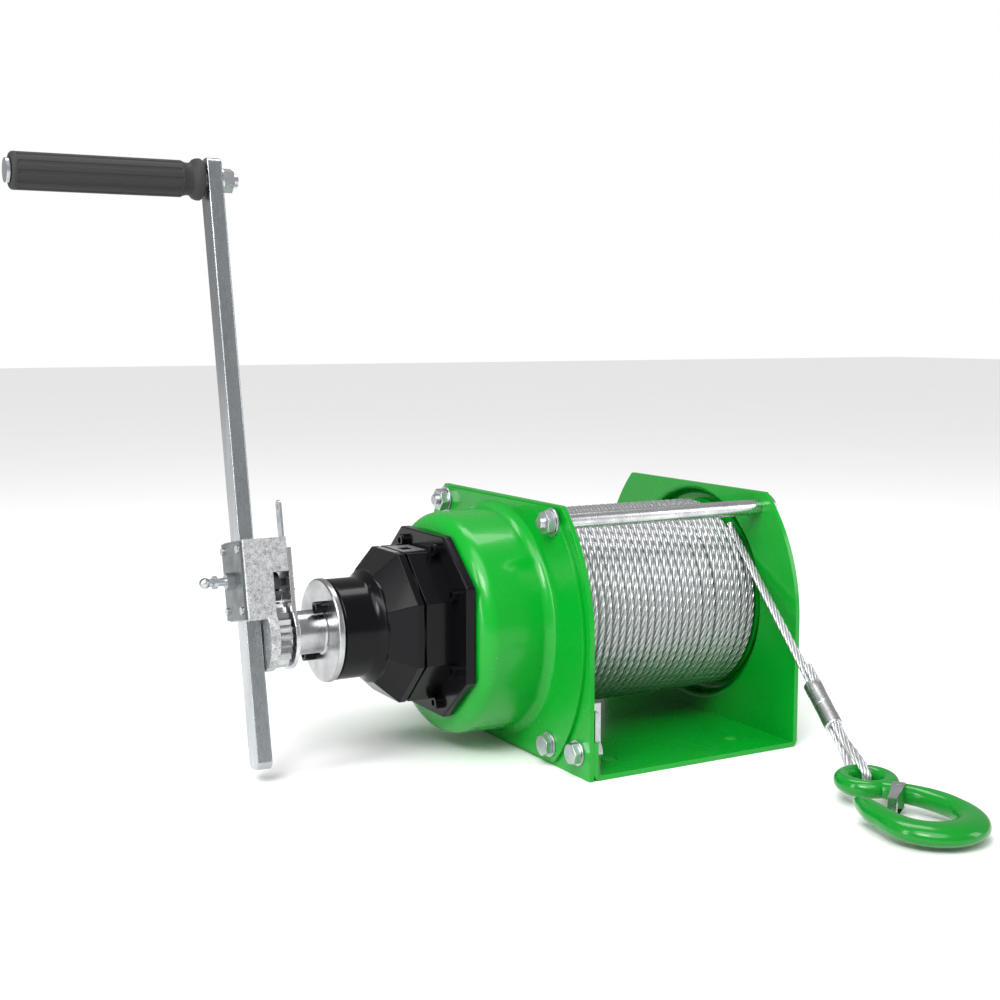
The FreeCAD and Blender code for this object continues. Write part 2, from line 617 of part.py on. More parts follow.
def brake():
    """Automatic brake: friction discs either side of a ratchet on the input shaft, and its pawl."""
    z = AXIS_Z
    shaft_start = "wheel_x - 8"
    length = f"gear_x - 6 - ({shaft_start})"
    node("input_shaft", fuse(cylinder("X", "shaft_radius", length, shaft_start, "0", z),
                             cylinder("X", "shaft_radius - 3", "gear_width + 8", "gear_x - 6", "0", z)))
    hub = turned("brake_hub", [
        ("case_face_x - 14", "shaft_radius"), ("case_face_x - 14", "34"), ("case_face_x - 8", "34"),
        ("case_face_x - 8", "14"), ("case_face_x + 2", "14"), ("case_face_x + 2", "shaft_radius")])
    node("brake_hub", hub)
    node("friction_discs", group(tube("X", "36", "shaft_radius + 6", "3", "case_face_x - 17", "0", z),
                                 tube("X", "36", "shaft_radius + 6", "3", "case_face_x - 28", "0", z)))
    blank = doc.addObject("Part::Feature", "RatchetBlank")
    blank.Shape = ratchet_shape(16, 38, 33, number("case_face_x") - 25, 8, number("shaft_radius"))
    blank.Placement = FreeCAD.Placement(V(0, 0, number(z)), FreeCAD.Rotation())
    node("brake_ratchet", blank)
    node("drive_plate", tube("X", "34", "shaft_radius", "8", "case_face_x - 36", "0", z))
    node("brake_spring", tube("X", "15", "12", "10", "case_face_x - 46", "0", z))
    node("neck_bush", tube("X", "20", "shaft_radius + 0.05", "14", "neck_end_x + 4", "0", z))
    pivot_y, pivot_z = "27", f"{z} + 36"
    pawl = fuse(cylinder("X", "4.5", "7", "case_face_x - 24.5", pivot_y, pivot_z),
                box("7", "13", "4.5", "case_face_x - 24.5", "14", f"{z} + 36.6"))
    node("brake_pawl", cut(pawl, cylinder("X", "2.55", "8", "case_face_x - 25", pivot_y, pivot_z)))
    node("brake_pawl_pin", cylinder("X", "2.5", "24", "case_face_x - 40.6", pivot_y, pivot_z))


def ratchet_shape(teeth, outer, inner, x, width, bore, symmetric=False):
    """A ratchet wheel's disc about X: saw teeth, or pointed ones where it works both ways."""
    points = []
    pitch = 2 * math.pi / teeth
    for k in range(teeth):
        a = k * pitch
        crest = a + pitch * (0.5 if symmetric else 0.06)
        points += [V(x, inner * math.cos(a), inner * math.sin(a)),
                   V(x, outer * math.cos(crest), outer * math.sin(crest))]
    wire = Part.makePolygon(points + points[:1])
    disc = Part.Face(wire).extrude(V(width, 0, 0))
    return disc.cut(Part.makeCylinder(bore, width + 2, V(x - 1, 0, 0), V(1, 0, 0)))


def drive_disc():
    """Turned disc and hub on the input shaft, with its two stop screws, and the crank's ratchet wheel."""
    back = "neck_end_x - 0.8"
    front = "neck_end_x - 0.8 - disc_thick"
    disc = turned("drive_disc", [
        (back, "shaft_radius"), (back, "disc_radius - 1"), (back + " - 1", "disc_radius"),
        (front + " + 1", "disc_radius"), (front, "disc_radius - 1"), (front, "hub_radius + 2"),
        (front + " - 2", "hub_radius", "-2"), ("hub_end_x + 1", "hub_radius"),
        ("hub_end_x", "hub_radius - 1"), ("hub_end_x", "shaft_radius")])
    node("drive_disc", disc)
    screws = []
    for angle in (120, 300):
        u = f"(hub_radius + 7) * {math.cos(math.radians(angle)):.6f}"
        v = f"{AXIS_Z} + (hub_radius + 7) * {math.sin(math.radians(angle)):.6f}"
        screws.append(cut(cylinder("X", "4.6", "9", front + " - 9", u, v),
                          prism("X", 6, "2.6", "4", front + " - 9", u, v)))
    node("stop_screws", group(*screws))
    wheel = doc.addObject("Part::Feature", "WheelBlank")
    wheel.Shape = ratchet_shape(int(number("wheel_teeth")), number("wheel_radius"),
                                number("wheel_radius - 2.4"), number("wheel_x"),
                                number("wheel_width"), number("shaft_radius"), True)
    wheel.Placement = FreeCAD.Placement(V(0, 0, number(AXIS_Z)), FreeCAD.Rotation())
    node("crank_ratchet_wheel", wheel)


def crank_head():
    """Cast head astride the ratchet wheel, with its cover plate, thin cheek, selector and lock plunger."""
    left = "wheel_x - 8"
    block = box("wheel_x + 14 - bar_x", "44", "61", "bar_x - 2", "-22", "13")
    cheek = fuse(cylinder("X", "27", "7.5", left, "0", "0"), box("7.5", "44", "14", left, "-22", "0"))
    window = box("13.5", "60", "36", "wheel_x - 0.5", "-30", "12")
    wheel_room = cylinder("X", "27.5", "13.5", "wheel_x - 0.5", "0", "0")
    slot = box("bar_thick + 0.1", "bar_width + 0.2", "80", "bar_x - 0.05", "-bar_width / 2 - 0.1", "5")
    head = cut(fuse(block, cheek), window, wheel_room, slot,
               cylinder("X", "shaft_radius + 0.05", "20", left + " - 5", "0", "0"),
               cylinder("X", "3.05", "8", "bar_x - 5", "0", "plunger_z"),
               cylinder("X", "3.02", "30", "wheel_x - 6", "0", "selector_z"))

    def long_upright(edge):
        return (abs(edge.BoundBox.ZLength - 61) < 0.1 and edge.BoundBox.XLength < 0.01
                and edge.BoundBox.XMin < number("bar_x - 1"))

    leaned("crank_head_casting", rounded(head, "1.5", long_upright))
    plate_x = "wheel_x + wheel_width + 2"
    thin = fuse(cylinder("X", "27", "3.5", plate_x, "0", "0"), box("3.5", "44", "66", plate_x, "-22", "0"))
    leaned("crank_cheek_plate",
           cut(thin, cylinder("X", "shaft_radius + 0.05", "10", plate_x + " - 2", "0", "0"),
               cylinder("X", "3.02", "10", plate_x + " - 2", "0", "selector_z")))
    cover_x = "bar_x - 4"
    rivets = [(y, z) for y in ("-17", "17") for z in ("21", "67")]
    leaned("crank_cover_plate", cut(box("2", "42", "59", cover_x, "-21", "14"),
                                    cylinder("X", "3.05", "4", cover_x + " - 1", "0", "plunger_z")))
    leaned("cover_rivets_and_nut",
           *[cylinder("X", "3", "1.6", cover_x + " - 1.6", y, z) for y, z in rivets],
           cut(prism("X", 6, "6.5", "6", cover_x + " - 6", "0", "plunger_z"),
               cylinder("X", "3.05", "8", cover_x + " - 7", "0", "plunger_z")))
    leaned("lock_plunger", fuse(cylinder("X", "3", "26.5", "bar_x - 26.7", "0", "plunger_z"),
                                cylinder("X", "5", "3", "bar_x - 20", "0", "plunger_z"),
                                ball("4.2", "bar_x - 26", "0", "plunger_z"),
                                cylinder("Y", "1.6", "20", "bar_x - 22.5", "-10", "plunger_z")))
    pawl = fuse(cylinder("X", "8", "wheel_width - 1", "wheel_x + 0.5", "0", "selector_z"),
                box("wheel_width - 1", "17", "8", "wheel_x + 0.5", "-8.5", "selector_z - 5"),
                prism("X", 3, "5", "wheel_width - 1", "wheel_x + 0.5", "6", "selector_z - 9"),
                prism("X", 3, "5", "wheel_width - 1", "wheel_x + 0.5", "-6", "selector_z - 9"))
    leaned("selector_pawl", cut(pawl, cylinder("X", "3", "20", "wheel_x - 1", "0", "selector_z")))
    leaned("selector_pin", cylinder("X", "3", "24", "wheel_x - 5", "0", "selector_z"))
    lever_x = "wheel_x + wheel_width + 5.7"
    blade = fuse(box("1.6", "9", "58", lever_x, "-4.5", "selector_z + 1"),
                 cylinder("X", "4.5", "1.6", lever_x, "0", "selector_z + 59"),
                 cylinder("X", "7", "1.6", lever_x, "0", "selector_z"),
                 box("7", "9", "1.6", lever_x, "-4.5", "selector_z - 7"))
    leaned("selector_lever", cut(blade, cylinder("X", "3", "8", lever_x + " - 2", "0", "selector_z"),
                                 cylinder("X", "2", "4", lever_x + " - 1", "0", "selector_z + 58")))


def crank_bar():
    """Sliding bar with lock dimples, its grip and the bolt that the grip turns on."""
    radius = "bar_width / 2"
    straight = box("bar_thick", "bar_width", "bar_up + bar_down - bar_width", "bar_x",
                   "-bar_width / 2", "-bar_down + bar_width / 2")
    ends = [cylinder("X", radius, "bar_thick", "bar_x", "0", "-bar_down + bar_width / 2"),
            cylinder("X", radius, "bar_thick", "bar_x", "0", "bar_up - bar_width / 2")]
    dimples = [ball("4", "bar_x - 2.5", "0", f"plunger_z + {step}") for step in range(0, 161, 40)]
    grip_z = "bar_up - 16"
    leaned("crank_bar", cut(fuse(straight, *ends), *dimples,
                            cylinder("X", "5", "bar_thick + 2", "bar_x - 1", "0", grip_z)))
    tail = "bar_x - 4 - grip_length"
    leaned("grip_bolt", fuse(cylinder("X", "5", "grip_length + 30", tail, "0", grip_z),
                             cylinder("X", "9", "2.5", tail + " - 2.5", "0", grip_z)))
    leaned("grip_nut_and_washer", tube("X", "9.5", "5", "1.6", "bar_x + bar_thick", "0", grip_z),
           cut(prism("X", 6, "9.6", "8", "bar_x + bar_thick + 1.6", "0", grip_z),
               cylinder("X", "5", "12", "bar_x + bar_thick", "0", grip_z)))
    flutes = []
    for k in range(16):
        angle = 2 * math.pi * k / 16
        flutes.append(cylinder("X", "1.3", "grip_length - 24", "bar_x - grip_length + 5",
                               f"(grip_radius + 0.5) * {math.cos(angle):.6f}",
                               f"{grip_z} + (grip_radius + 0.5) * {math.sin(angle):.6f}"))
    sleeve = fuse(cylinder("X", "grip_radius", "grip_length", "bar_x - 3 - grip_length", "0", grip_z),
                  cylinder("X", "grip_collar", "7", "bar_x - 10", "0", grip_z))
    rim = cylinder("X", "10.5", "4", "bar_x - 4 - grip_length - 2.6", "0", grip_z)
    leaned("grip", cut(sleeve, *flutes, cylinder("X", "5.06", "grip_length + 4", tail, "0", grip_z), rim))


def unit(angle):
    """A direction in the YZ plane at an angle from +Y towards +Z, in radians."""
    return V(0, math.cos(angle), math.sin(angle))


def rope_end():
    """The free rope to its pressed ferrule, the loop through the hook's eye, and the hook."""
    axis_z, rope = number(AXIS_Z), number("rope_radius")
    lay_radius = number("winding_radius") - rope
    eye = V(number("eye_x"), number("eye_y"), number("eye_z"))
    ring, bar = number("eye_ring"), number("eye_bar")
    bar_out = V(0.423, 0.906, 0)
    bar_at = eye + bar_out * ring
    sight = V(0, bar_at.y, bar_at.z - axis_z)
    tangent = math.atan2(sight.z, sight.y) % (2 * math.pi) - math.acos(lay_radius / sight.Length)
    leave = V(number("tail_x"), 0, axis_z) + unit(tangent) * lay_radius
    toward = bar_at - leave
    whole = toward.Length
    along = toward.normalize()
    start, crimp, end = 38.0, whole - 88.0, whole - 45.0
    print("rope tail runs straight from", leave + along * start, "to", leave + along * crimp, "no arcs")
    feature("rope_tail", Part.makeCylinder(rope, crimp - start, leave + along * start, along))
    side = along.cross(V(bar_out.y, -bar_out.x, 0)).normalize()
    sleeve = Part.makeCylinder(rope + 3.6, end - crimp, leave + along * crimp, along)
    stub = Part.makeCylinder(rope, 12, leave + along * (crimp - 12) + side * (2 * rope + 0.1), along)
    feature("ferrule", Part.makeCompound([sleeve, stub]))

    turn = bar + rope + 1.3
    half_gap = rope + 0.15
    reach = whole - end
    bearing = math.atan2(half_gap, -reach) - math.acos(turn / math.hypot(half_gap, reach))

    def beside(sign):
        return bar_at + along * (turn * math.cos(bearing)) + side * (sign * turn * math.sin(bearing))

    first = [leave + along * end + side * half_gap, beside(1)]
    second = [beside(-1), leave + along * end - side * half_gap]
    path = Part.Wire([Part.LineSegment(*first).toShape(),
                      Part.Arc(first[1], bar_at + along * turn, second[0]).toShape(),
                      Part.LineSegment(*second).toShape()])
    section = Part.Wire(Part.Circle(first[0], first[1] - first[0], rope).toShape())
    loop = path.makePipeShell([section], True, True)
    print("loop arc radius", round(turn, 2), "volume against section times length:",
          round(loop.Volume / (math.pi * rope ** 2 * path.Length), 3))
    feature("rope_loop", loop.cut(sleeve))
    hook(eye, ring, bar)


def hook(eye, ring, bar):
    """Forged hook lying flat: an eye, a shank that swells into the bowl, and a tapering point."""
    scale = number("hook_scale")
    yaw = math.radians(number("hook_yaw"))
    main = V(-math.sin(yaw), -math.cos(yaw), 0)
    across = V(math.cos(yaw), -math.sin(yaw), 0)

    def at(u, v):
        return eye + main * (u * scale) + across * (v * scale)

    def tilted(shape):
        shape.rotate(eye, across, number("hook_tilt"))
        return shape

    bowl_u, bowl_radius = 70, 28
    stations = [(16, 2, 6.5, 6.5), (25, 9, 7, 7), (38, 19, 7.5, 7.5), (54, 26, 8, 7.8)]
    for angle in range(0, 181, 30):
        swell = math.sin(math.radians(angle))
        a = math.radians(angle)
        stations.append((bowl_u + bowl_radius * math.sin(a), bowl_radius * math.cos(a),
                         8.5 + 4 * swell, 7.8))
    stations += [(58, -28.5, 8, 7.6), (46, -28, 7, 7), (36, -27, 5, 5.5), (30, -27, 2.5, 3)]
    sections = []
    for k, (u, v, wide, high) in enumerate(stations):
        before, after = stations[max(k - 1, 0)], stations[min(k + 1, len(stations) - 1)]
        run = (at(after[0], after[1]) - at(before[0], before[1])).normalize()
        flat = V(-run.y, run.x, 0)
        points = [at(u, v) + flat * (wide * scale * math.cos(math.radians(t)))
                  + V(0, 0, high * math.sin(math.radians(t))) for t in range(0, 360, 30)]
        curve = Part.BSplineCurve()
        curve.interpolate(points, PeriodicFlag=True)
        sections.append(Part.Wire(curve.toShape()))
    shank = Part.makeLoft(sections, True, False)
    torus = Part.makeTorus(ring, bar, eye, V(0, 0, 1))
    solid = torus.fuse(shank)
    lug_at = at(31, 4)
    lug = Part.makeCylinder(5, 15, lug_at - V(0, 0, 7.5), V(0, 0, 1))
    solid = solid.fuse(lug)
    solid = solid.cut(Part.makeCylinder(2.02, 20, lug_at - V(0, 0, 10), V(0, 0, 1)))
    feature("hook", tilted(solid.copy()))
    feature("latch_pin", tilted(Part.makeCylinder(2, 19, lug_at - V(0, 0, 9.5), V(0, 0, 1))))
    tip = at(52, -15)
    run = (tip - lug_at).normalize()
    flat = V(-run.y, run.x, 0)
    leaf = []
    for lift in (8.1, -9.3):
        corners = [lug_at - run * 4.5 + flat * 4.5, tip + flat * 3, tip - flat * 3,
                   lug_at - run * 4.5 - flat * 4.5]
        wire = Part.makePolygon([c + V(0, 0, lift) for c in corners + corners[:1]])
        leaf.append(Part.Face(wire).extrude(V(0, 0, 1.2)))
    bridge = Part.makeBox(8, 6, 18.6, V(-4, -3, -9.3))
    bridge.rotate(V(0, 0, 0), V(0, 0, 1), math.degrees(math.atan2(run.y, run.x)))
    bridge.translate(tip - run * 4.5 + V(0, 0, 0))
    latch = leaf[0].fuse(leaf[1]).fuse(bridge)
    latch = latch.cut(Part.makeCylinder(2.04, 20, lug_at - V(0, 0, 10), V(0, 0, 1)))
    feature("hook_latch", tilted(latch))


def write_nodes():
    """Checks every object and writes one file per sub-part."""
    doc.recompute()
    for obj in doc.Objects:
        if "Invalid" in obj.State or "Error" in obj.State:
            raise RuntimeError(f"{obj.Label} failed: {obj.State}")
    os.makedirs("parts", exist_ok=True)
    for obj in nodes:
        shape = obj.Shape
        if shape.isNull() or not shape.isValid() or not shape.Solids:
            raise RuntimeError(f"{obj.Label} has no valid shape")
        shape.exportStep(f"parts/{obj.Label}.step")
        bound = shape.BoundBox
        print(f"{obj.Label:22s} solids {len(shape.Solids):2d} volume {shape.Volume:10.0f} "
              f"x {bound.XMin:.1f}..{bound.XMax:.1f} y {bound.YMin:.1f}..{bound.YMax:.1f} "
              f"z {bound.ZMin:.1f}..{bound.ZMax:.1f}")
    print(len(nodes), "nodes")


frame_shell()
left_side_plate()
gear_case()
brake_housing()
gears()
drum()
rods_and_bolts()
brake()
drive_disc()
crank_head()
crank_bar()
rope_end()
write_nodes()
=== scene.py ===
"""Looks of a hand-cranked wire-rope winch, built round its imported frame."""

from __future__ import annotations

import json
import logging
import math
import random
from dataclasses import dataclass, field
from enum import Enum
from typing import Any, Callable, Iterable, Sequence

import bpy
import numpy as np
from mathutils import Matrix, Vector

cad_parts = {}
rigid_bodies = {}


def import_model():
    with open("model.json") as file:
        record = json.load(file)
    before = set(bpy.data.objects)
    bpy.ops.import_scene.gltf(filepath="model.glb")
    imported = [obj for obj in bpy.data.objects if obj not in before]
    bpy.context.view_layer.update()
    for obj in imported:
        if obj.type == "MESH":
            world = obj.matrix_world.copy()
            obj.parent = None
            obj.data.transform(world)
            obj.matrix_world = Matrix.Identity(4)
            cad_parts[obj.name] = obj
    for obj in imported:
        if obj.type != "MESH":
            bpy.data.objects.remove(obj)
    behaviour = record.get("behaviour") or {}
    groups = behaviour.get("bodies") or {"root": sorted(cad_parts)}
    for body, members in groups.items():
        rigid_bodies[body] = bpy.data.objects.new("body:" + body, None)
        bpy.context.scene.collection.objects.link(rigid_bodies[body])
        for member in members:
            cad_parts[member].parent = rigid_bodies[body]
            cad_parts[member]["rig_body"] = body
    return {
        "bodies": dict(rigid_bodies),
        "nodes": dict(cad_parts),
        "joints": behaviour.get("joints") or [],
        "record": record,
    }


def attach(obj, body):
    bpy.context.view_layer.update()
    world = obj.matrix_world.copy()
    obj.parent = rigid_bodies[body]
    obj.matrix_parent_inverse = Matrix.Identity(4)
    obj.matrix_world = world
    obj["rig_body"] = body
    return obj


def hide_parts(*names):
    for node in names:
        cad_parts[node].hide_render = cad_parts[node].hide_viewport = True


LOG = logging.getLogger("winch")
AXIS_HEIGHT = 0.108
ROPE_DIAMETER = 0.007
MM = 0.001
MERGE_DISTANCE = 2e-6
FLAT_ANGLE = math.radians(0.6)
ROPE_SMOOTH = math.radians(50)
CRANK_LEAN = math.radians(11)
Point = tuple[float, float, float]
Colour = tuple[float, float, float]


class Slot(Enum):
    """The material slots that the record names."""

    GREEN = "green_paint"
    BLACK = "black_paint"
    RUBBER = "rubber_black"
    GRIP = "grip_plastic"
    DARK = "dark_steel"
    ZINC = "zinc_steel"
    CAST = "zinc_cast"
    POLISHED = "polished_steel"
    BRONZE = "bronze"
    LINING = "friction_lining"
    ROPE = "wire_rope"


# ---------------------------------------------------------------- shader maths


class Wire:
    """A shader socket that Python's operators join to others."""

    def __init__(self, net: Net, socket: bpy.types.NodeSocket) -> None:
        """Keeps the node tree and the socket."""
        self.net = net
        self.socket = socket

    def _join(self, operation: str, first: Any, second: Any = None) -> Wire:
        """Adds a Math node that works on two values."""
        return self.net.maths(operation, first, second)

    def __add__(self, other: Any) -> Wire:
        """Sum."""
        return self._join("ADD", self, other)

    def __sub__(self, other: Any) -> Wire:
        """Difference."""
        return self._join("SUBTRACT", self, other)

    def __rsub__(self, other: Any) -> Wire:
        """Difference, reflected."""
        return self._join("SUBTRACT", other, self)

    def __mul__(self, other: Any) -> Wire:
        """Product."""
        return self._join("MULTIPLY", self, other)

    def sine(self) -> Wire:
        """Sine of this angle."""
        return self._join("SINE", self)

    def root(self) -> Wire:
        """Square root."""
        return self._join("SQRT", self)

    def clamped(self) -> Wire:
        """Held between 0 and 1."""
        held = self._join("ADD", self, 0.0)
        held.socket.node.use_clamp = True
        return held


class Net:
    """One material's node tree."""

    def __init__(self, name: str) -> None:
        """Starts an empty material with its shader and output.

        Args:
            name: The material's name.
        """
        self.material = bpy.data.materials.new(name)
        self.material.use_nodes = True
        self.tree = self.material.node_tree
        self.tree.nodes.clear()
        self.shader = self.tree.nodes.new("ShaderNodeBsdfPrincipled")
        output = self.tree.nodes.new("ShaderNodeOutputMaterial")
        self.tree.links.new(self.shader.outputs[0], output.inputs[0])

    def set(self, socket: bpy.types.NodeSocket, value: Any) -> None:
        """Links a wire into a socket, or writes a constant on it."""
        if isinstance(value, Wire):
            self.tree.links.new(value.socket, socket)
        elif isinstance(value, tuple) and len(value) == 3 and len(socket.default_value) == 4:
            socket.default_value = (*value, 1.0)
        else:
            socket.default_value = value

    def node(self, kind: str, settings: dict[str, Any], sockets: dict[Any, Any], out: Any = 0) -> Wire:
        """Adds any node.

        Args:
            kind: The node's type, after ShaderNode.
            settings: What is set on the node itself, a ramp's stops among them.
            sockets: Input name or number, with its value or wire.
            out: Output name or number.

        Returns:
            The wire from the chosen output.
        """
        made = self.tree.nodes.new("ShaderNode" + kind)
        for key, value in settings.items():
            if key == "stops":
                ramp = made.color_ramp.elements
                while len(ramp) < len(value):
                    ramp.new(0.5)
                for stop, (place, shade) in zip(ramp, value):
                    stop.position = place
                    stop.color = (*shade, 1.0)
            else:
                setattr(made, key, value)
        for key, value in sockets.items():
            self.set(made.inputs[key], value)
        return Wire(self, made.outputs[out])

    def maths(self, operation: str, first: Any, second: Any = None) -> Wire:
        """Adds a Math node."""
        sockets = {0: first} if second is None else {0: first, 1: second}
        return self.node("Math", {"operation": operation}, sockets)

    def place(self, scale: Sequence[float] = (1, 1, 1)) -> Wire:
        """Coordinates of the piece, stretched by a scale on each axis."""
        found = self.node("TexCoord", {}, {}, "Object")
        return self.node("Mapping", {}, {"Vector": found, "Scale": tuple(scale)})

    def noise(self, scale: float, detail: float = 3, rough: float = 0.55, where: Wire | None = None) -> Wire:
        """Value noise, about 0.5 in the middle."""
        vector = where or self.place()
        sockets = {"Vector": vector, "Scale": scale, "Detail": detail, "Roughness": rough}
        return self.node("TexNoise", {}, sockets, "Fac")

    def ramp(self, value: Wire, low: float, high: float, start: float = 0.0, end: float = 1.0) -> Wire:
        """Maps a value from low..high onto start..end, held at both ends."""
        sockets = {0: value, 1: low, 2: high, 3: start, 4: end}
        return self.node("MapRange", {}, sockets)

    def mix(self, share: Any, first: Any, second: Any) -> Wire:
        """Mixes two colours."""
        sockets = {0: share, 6: first, 7: second}
        return self.node("Mix", {"data_type": "RGBA"}, sockets, 2)

    def bump(self, height: Wire, strength: float, depth: float, under: Wire | None = None) -> Wire:
        """A normal pushed by a height, over another if one is given."""
        sockets: dict[Any, Any] = {"Height": height, "Strength": strength, "Distance": depth}
        if under is not None:
            sockets["Normal"] = under
        return self.node("Bump", {}, sockets)

    def finish(self, **values: Any) -> bpy.types.Material:
        """Writes the shader's sockets, named with underscores, and gives the material."""
        for key, value in values.items():
            self.set(self.shader.inputs[key.replace("_", " ")], value)
        return self.material


# -------------------------------------------------------------------- finishes


@dataclass(frozen=True)
class Finish:
    """A surface finish that makes its material once."""

    name: str
    slot: Slot

    def dress(self, net: Net) -> bpy.types.Material:
        """Fills the node tree."""
        raise NotImplementedError

    def material(self) -> bpy.types.Material:
        """The finish's material, made on its first use."""
        return bpy.data.materials.get(self.name) or self.dress(Net(self.name))


@dataclass(frozen=True)
class GlossPaint(Finish):
    """Sprayed enamel with a faint orange peel and a little dust."""

    colour: Colour = (0.001, 0.3, 0.018)
    deep: Colour = (0.001, 0.22, 0.014)
    roughness: float = 0.22
    peel: float = 0.00005
    coat: float = 0.2
    dust: Colour = (0.2, 0.45, 0.22)
    ior: float = 1.36

    def dress(self, net: Net) -> bpy.types.Material:
        """Fills the node tree."""
        cloud = net.noise(9, 3)
        fine = net.noise(420, 2)
        peel = net.noise(190, 2, 0.4)
        colour = net.mix(net.ramp(cloud, 0.35, 0.7, 0.0, 0.45), self.colour, self.deep)
        speck = net.ramp(fine, 0.68, 0.78)
        return net.finish(
            Base_Color=net.mix(speck * 0.05, colour, self.dust),
            Roughness=net.ramp(cloud, 0.3, 0.7, self.roughness, self.roughness + 0.09) + speck * 0.1,
            Normal=net.bump(peel, 0.35, self.peel),
            Coat_Weight=self.coat,
            Coat_Roughness=0.05,
            IOR=self.ior,
        )


@dataclass(frozen=True)
class Plated(Finish):
    """Zinc-plated or bare steel with a mottled, slightly drawn surface."""

    colour: Colour = (0.62, 0.64, 0.66)
    shade: Colour = (0.36, 0.38, 0.4)
    roughness: float = 0.26
    spread: float = 0.16
    stretch: Point = (1, 1, 1)
    scale: float = 60.0
    relief: float = 0.00002

    def dress(self, net: Net) -> bpy.types.Material:
        """Fills the node tree."""
        where = net.place(self.stretch)
        cloud = net.noise(self.scale, 4, 0.6, where)
        fine = net.noise(self.scale * 12, 2, 0.5, where)
        share = net.ramp(cloud, 0.36, 0.7)
        return net.finish(
            Base_Color=net.mix(share, self.colour, self.shade),
            Metallic=1.0,
            Roughness=net.ramp(
                cloud * 0.6 + fine * 0.4, 0.3, 0.7, self.roughness, self.roughness + self.spread),
            Normal=net.bump(fine, 0.4, self.relief),
        )


@dataclass(frozen=True)
class RoughCast(Finish):
    """A sand casting that was plated: coarse grains that catch the light."""

    colour: Colour = (0.66, 0.67, 0.68)
    shade: Colour = (0.26, 0.27, 0.28)
    roughness: float = 0.3

    def dress(self, net: Net) -> bpy.types.Material:
        """Fills the node tree."""
        grain = net.noise(900, 3, 0.7)
        lumps = net.noise(240, 3, 0.6)
        share = net.ramp(grain * 0.6 + lumps * 0.4, 0.42, 0.62)
        return net.finish(
            Base_Color=net.mix(share, self.colour, self.shade),
            Metallic=1.0,
            Roughness=net.ramp(grain, 0.3, 0.7, self.roughness, self.roughness + 0.25),
            Normal=net.bump(grain, 0.8, 0.00045, net.bump(lumps, 0.6, 0.0008)),
        )


@dataclass(frozen=True)
class Turned(Finish):
    """Steel turned on a lathe about the drum's axis, with fine rings."""

    colour: Colour = (0.52, 0.53, 0.54)
    shade: Colour = (0.28, 0.29, 0.3)
    roughness: float = 0.16
    rings: float = 5200.0

    def dress(self, net: Net) -> bpy.types.Material:
        """Fills the node tree."""
        split = net.node("SeparateXYZ", {}, {0: net.place()})
        across = Wire(net, split.socket.node.outputs[1])
        up = Wire(net, split.socket.node.outputs[2]) - AXIS_HEIGHT
        radius = (across * across + up * up).root()
        along = split * self.rings + radius * self.rings
        sockets = {"W": along, "Scale": 1.0, "Detail": 2.0}
        lines = net.node("TexNoise", {"noise_dimensions": "1D"}, sockets, "Fac")
        cloud = net.noise(45, 3)
        return net.finish(
            Base_Color=net.mix(net.ramp(cloud * 0.6 + lines * 0.4, 0.4, 0.68), self.colour, self.shade),
            Metallic=1.0,
            Roughness=net.ramp(lines * 0.5 + cloud * 0.5, 0.3, 0.7, self.roughness, self.roughness + 0.2),
            Normal=net.bump(lines, 0.35, 0.00004),
        )


@dataclass(frozen=True)
class Moulded(Finish):
    """Black rubber or plastic with a fine grain."""

    colour: Colour = (0.008, 0.008, 0.009)
    pale: Colour = (0.03, 0.03, 0.032)
    roughness: float = 0.42
    grain: float = 0.0001

    def dress(self, net: Net) -> bpy.types.Material:
        """Fills the node tree."""
        fine = net.noise(900, 3, 0.6)
        cloud = net.noise(35, 3)
        return net.finish(
            Base_Color=net.mix(net.ramp(cloud * 0.5 + fine * 0.5, 0.45, 0.75), self.colour, self.pale),
            Roughness=net.ramp(cloud, 0.3, 0.7, self.roughness, self.roughness + 0.15),
            Normal=net.bump(fine, 0.5, self.grain),
            Coat_Weight=0.0,
        )


@dataclass(frozen=True)
class Stranded(Finish):
    """Bright rope wires, with painted shade in the grooves between strands and between wires: the map's U
    runs along the rope and V round it.
    """

    colour: Colour = (0.7, 0.71, 0.72)
    shade: Colour = (0.12, 0.12, 0.13)
    strands: int = 6
    wires: float = 9.0

    def dress(self, net: Net) -> bpy.types.Material:
        """Fills the node tree."""
        found = net.node("TexCoord", {}, {}, "UV")
        split = net.node("SeparateXYZ", {}, {0: found})
        around = Wire(net, split.socket.node.outputs[1])
        turn = around * (2 * math.pi * self.strands)
        crown = turn.sine() * 0.5 + 0.5
        wire = (around * (2 * math.pi * self.strands * self.wires) - split * 900.0).sine() * 0.5 + 0.5
        cloud = net.noise(26, 3)
        # Painted shade: this mask is strongest in the grooves between strands, where the colour is pulled
        # towards the dark shade colour.
        painted_groove_shade = net.ramp(crown, 0.0, 0.72, 1.0, 0.0)
        grime = net.ramp(cloud, 0.4, 0.7, 0.0, 0.35)
        base = net.mix(grime, self.colour, (0.4, 0.41, 0.42))
        return net.finish(
            # Painted shade: the groove mask, plus a little shade in the gaps between single wires, darkens
            # the colour towards the shade colour.
            Base_Color=net.mix((painted_groove_shade * 0.85 + (1.0 - wire) * 0.18).clamped(), base, self.shade),
            Metallic=1.0,
            Roughness=net.ramp(cloud, 0.3, 0.7, 0.22, 0.36),
            Normal=net.bump(wire, 0.5, 0.00018),
        )


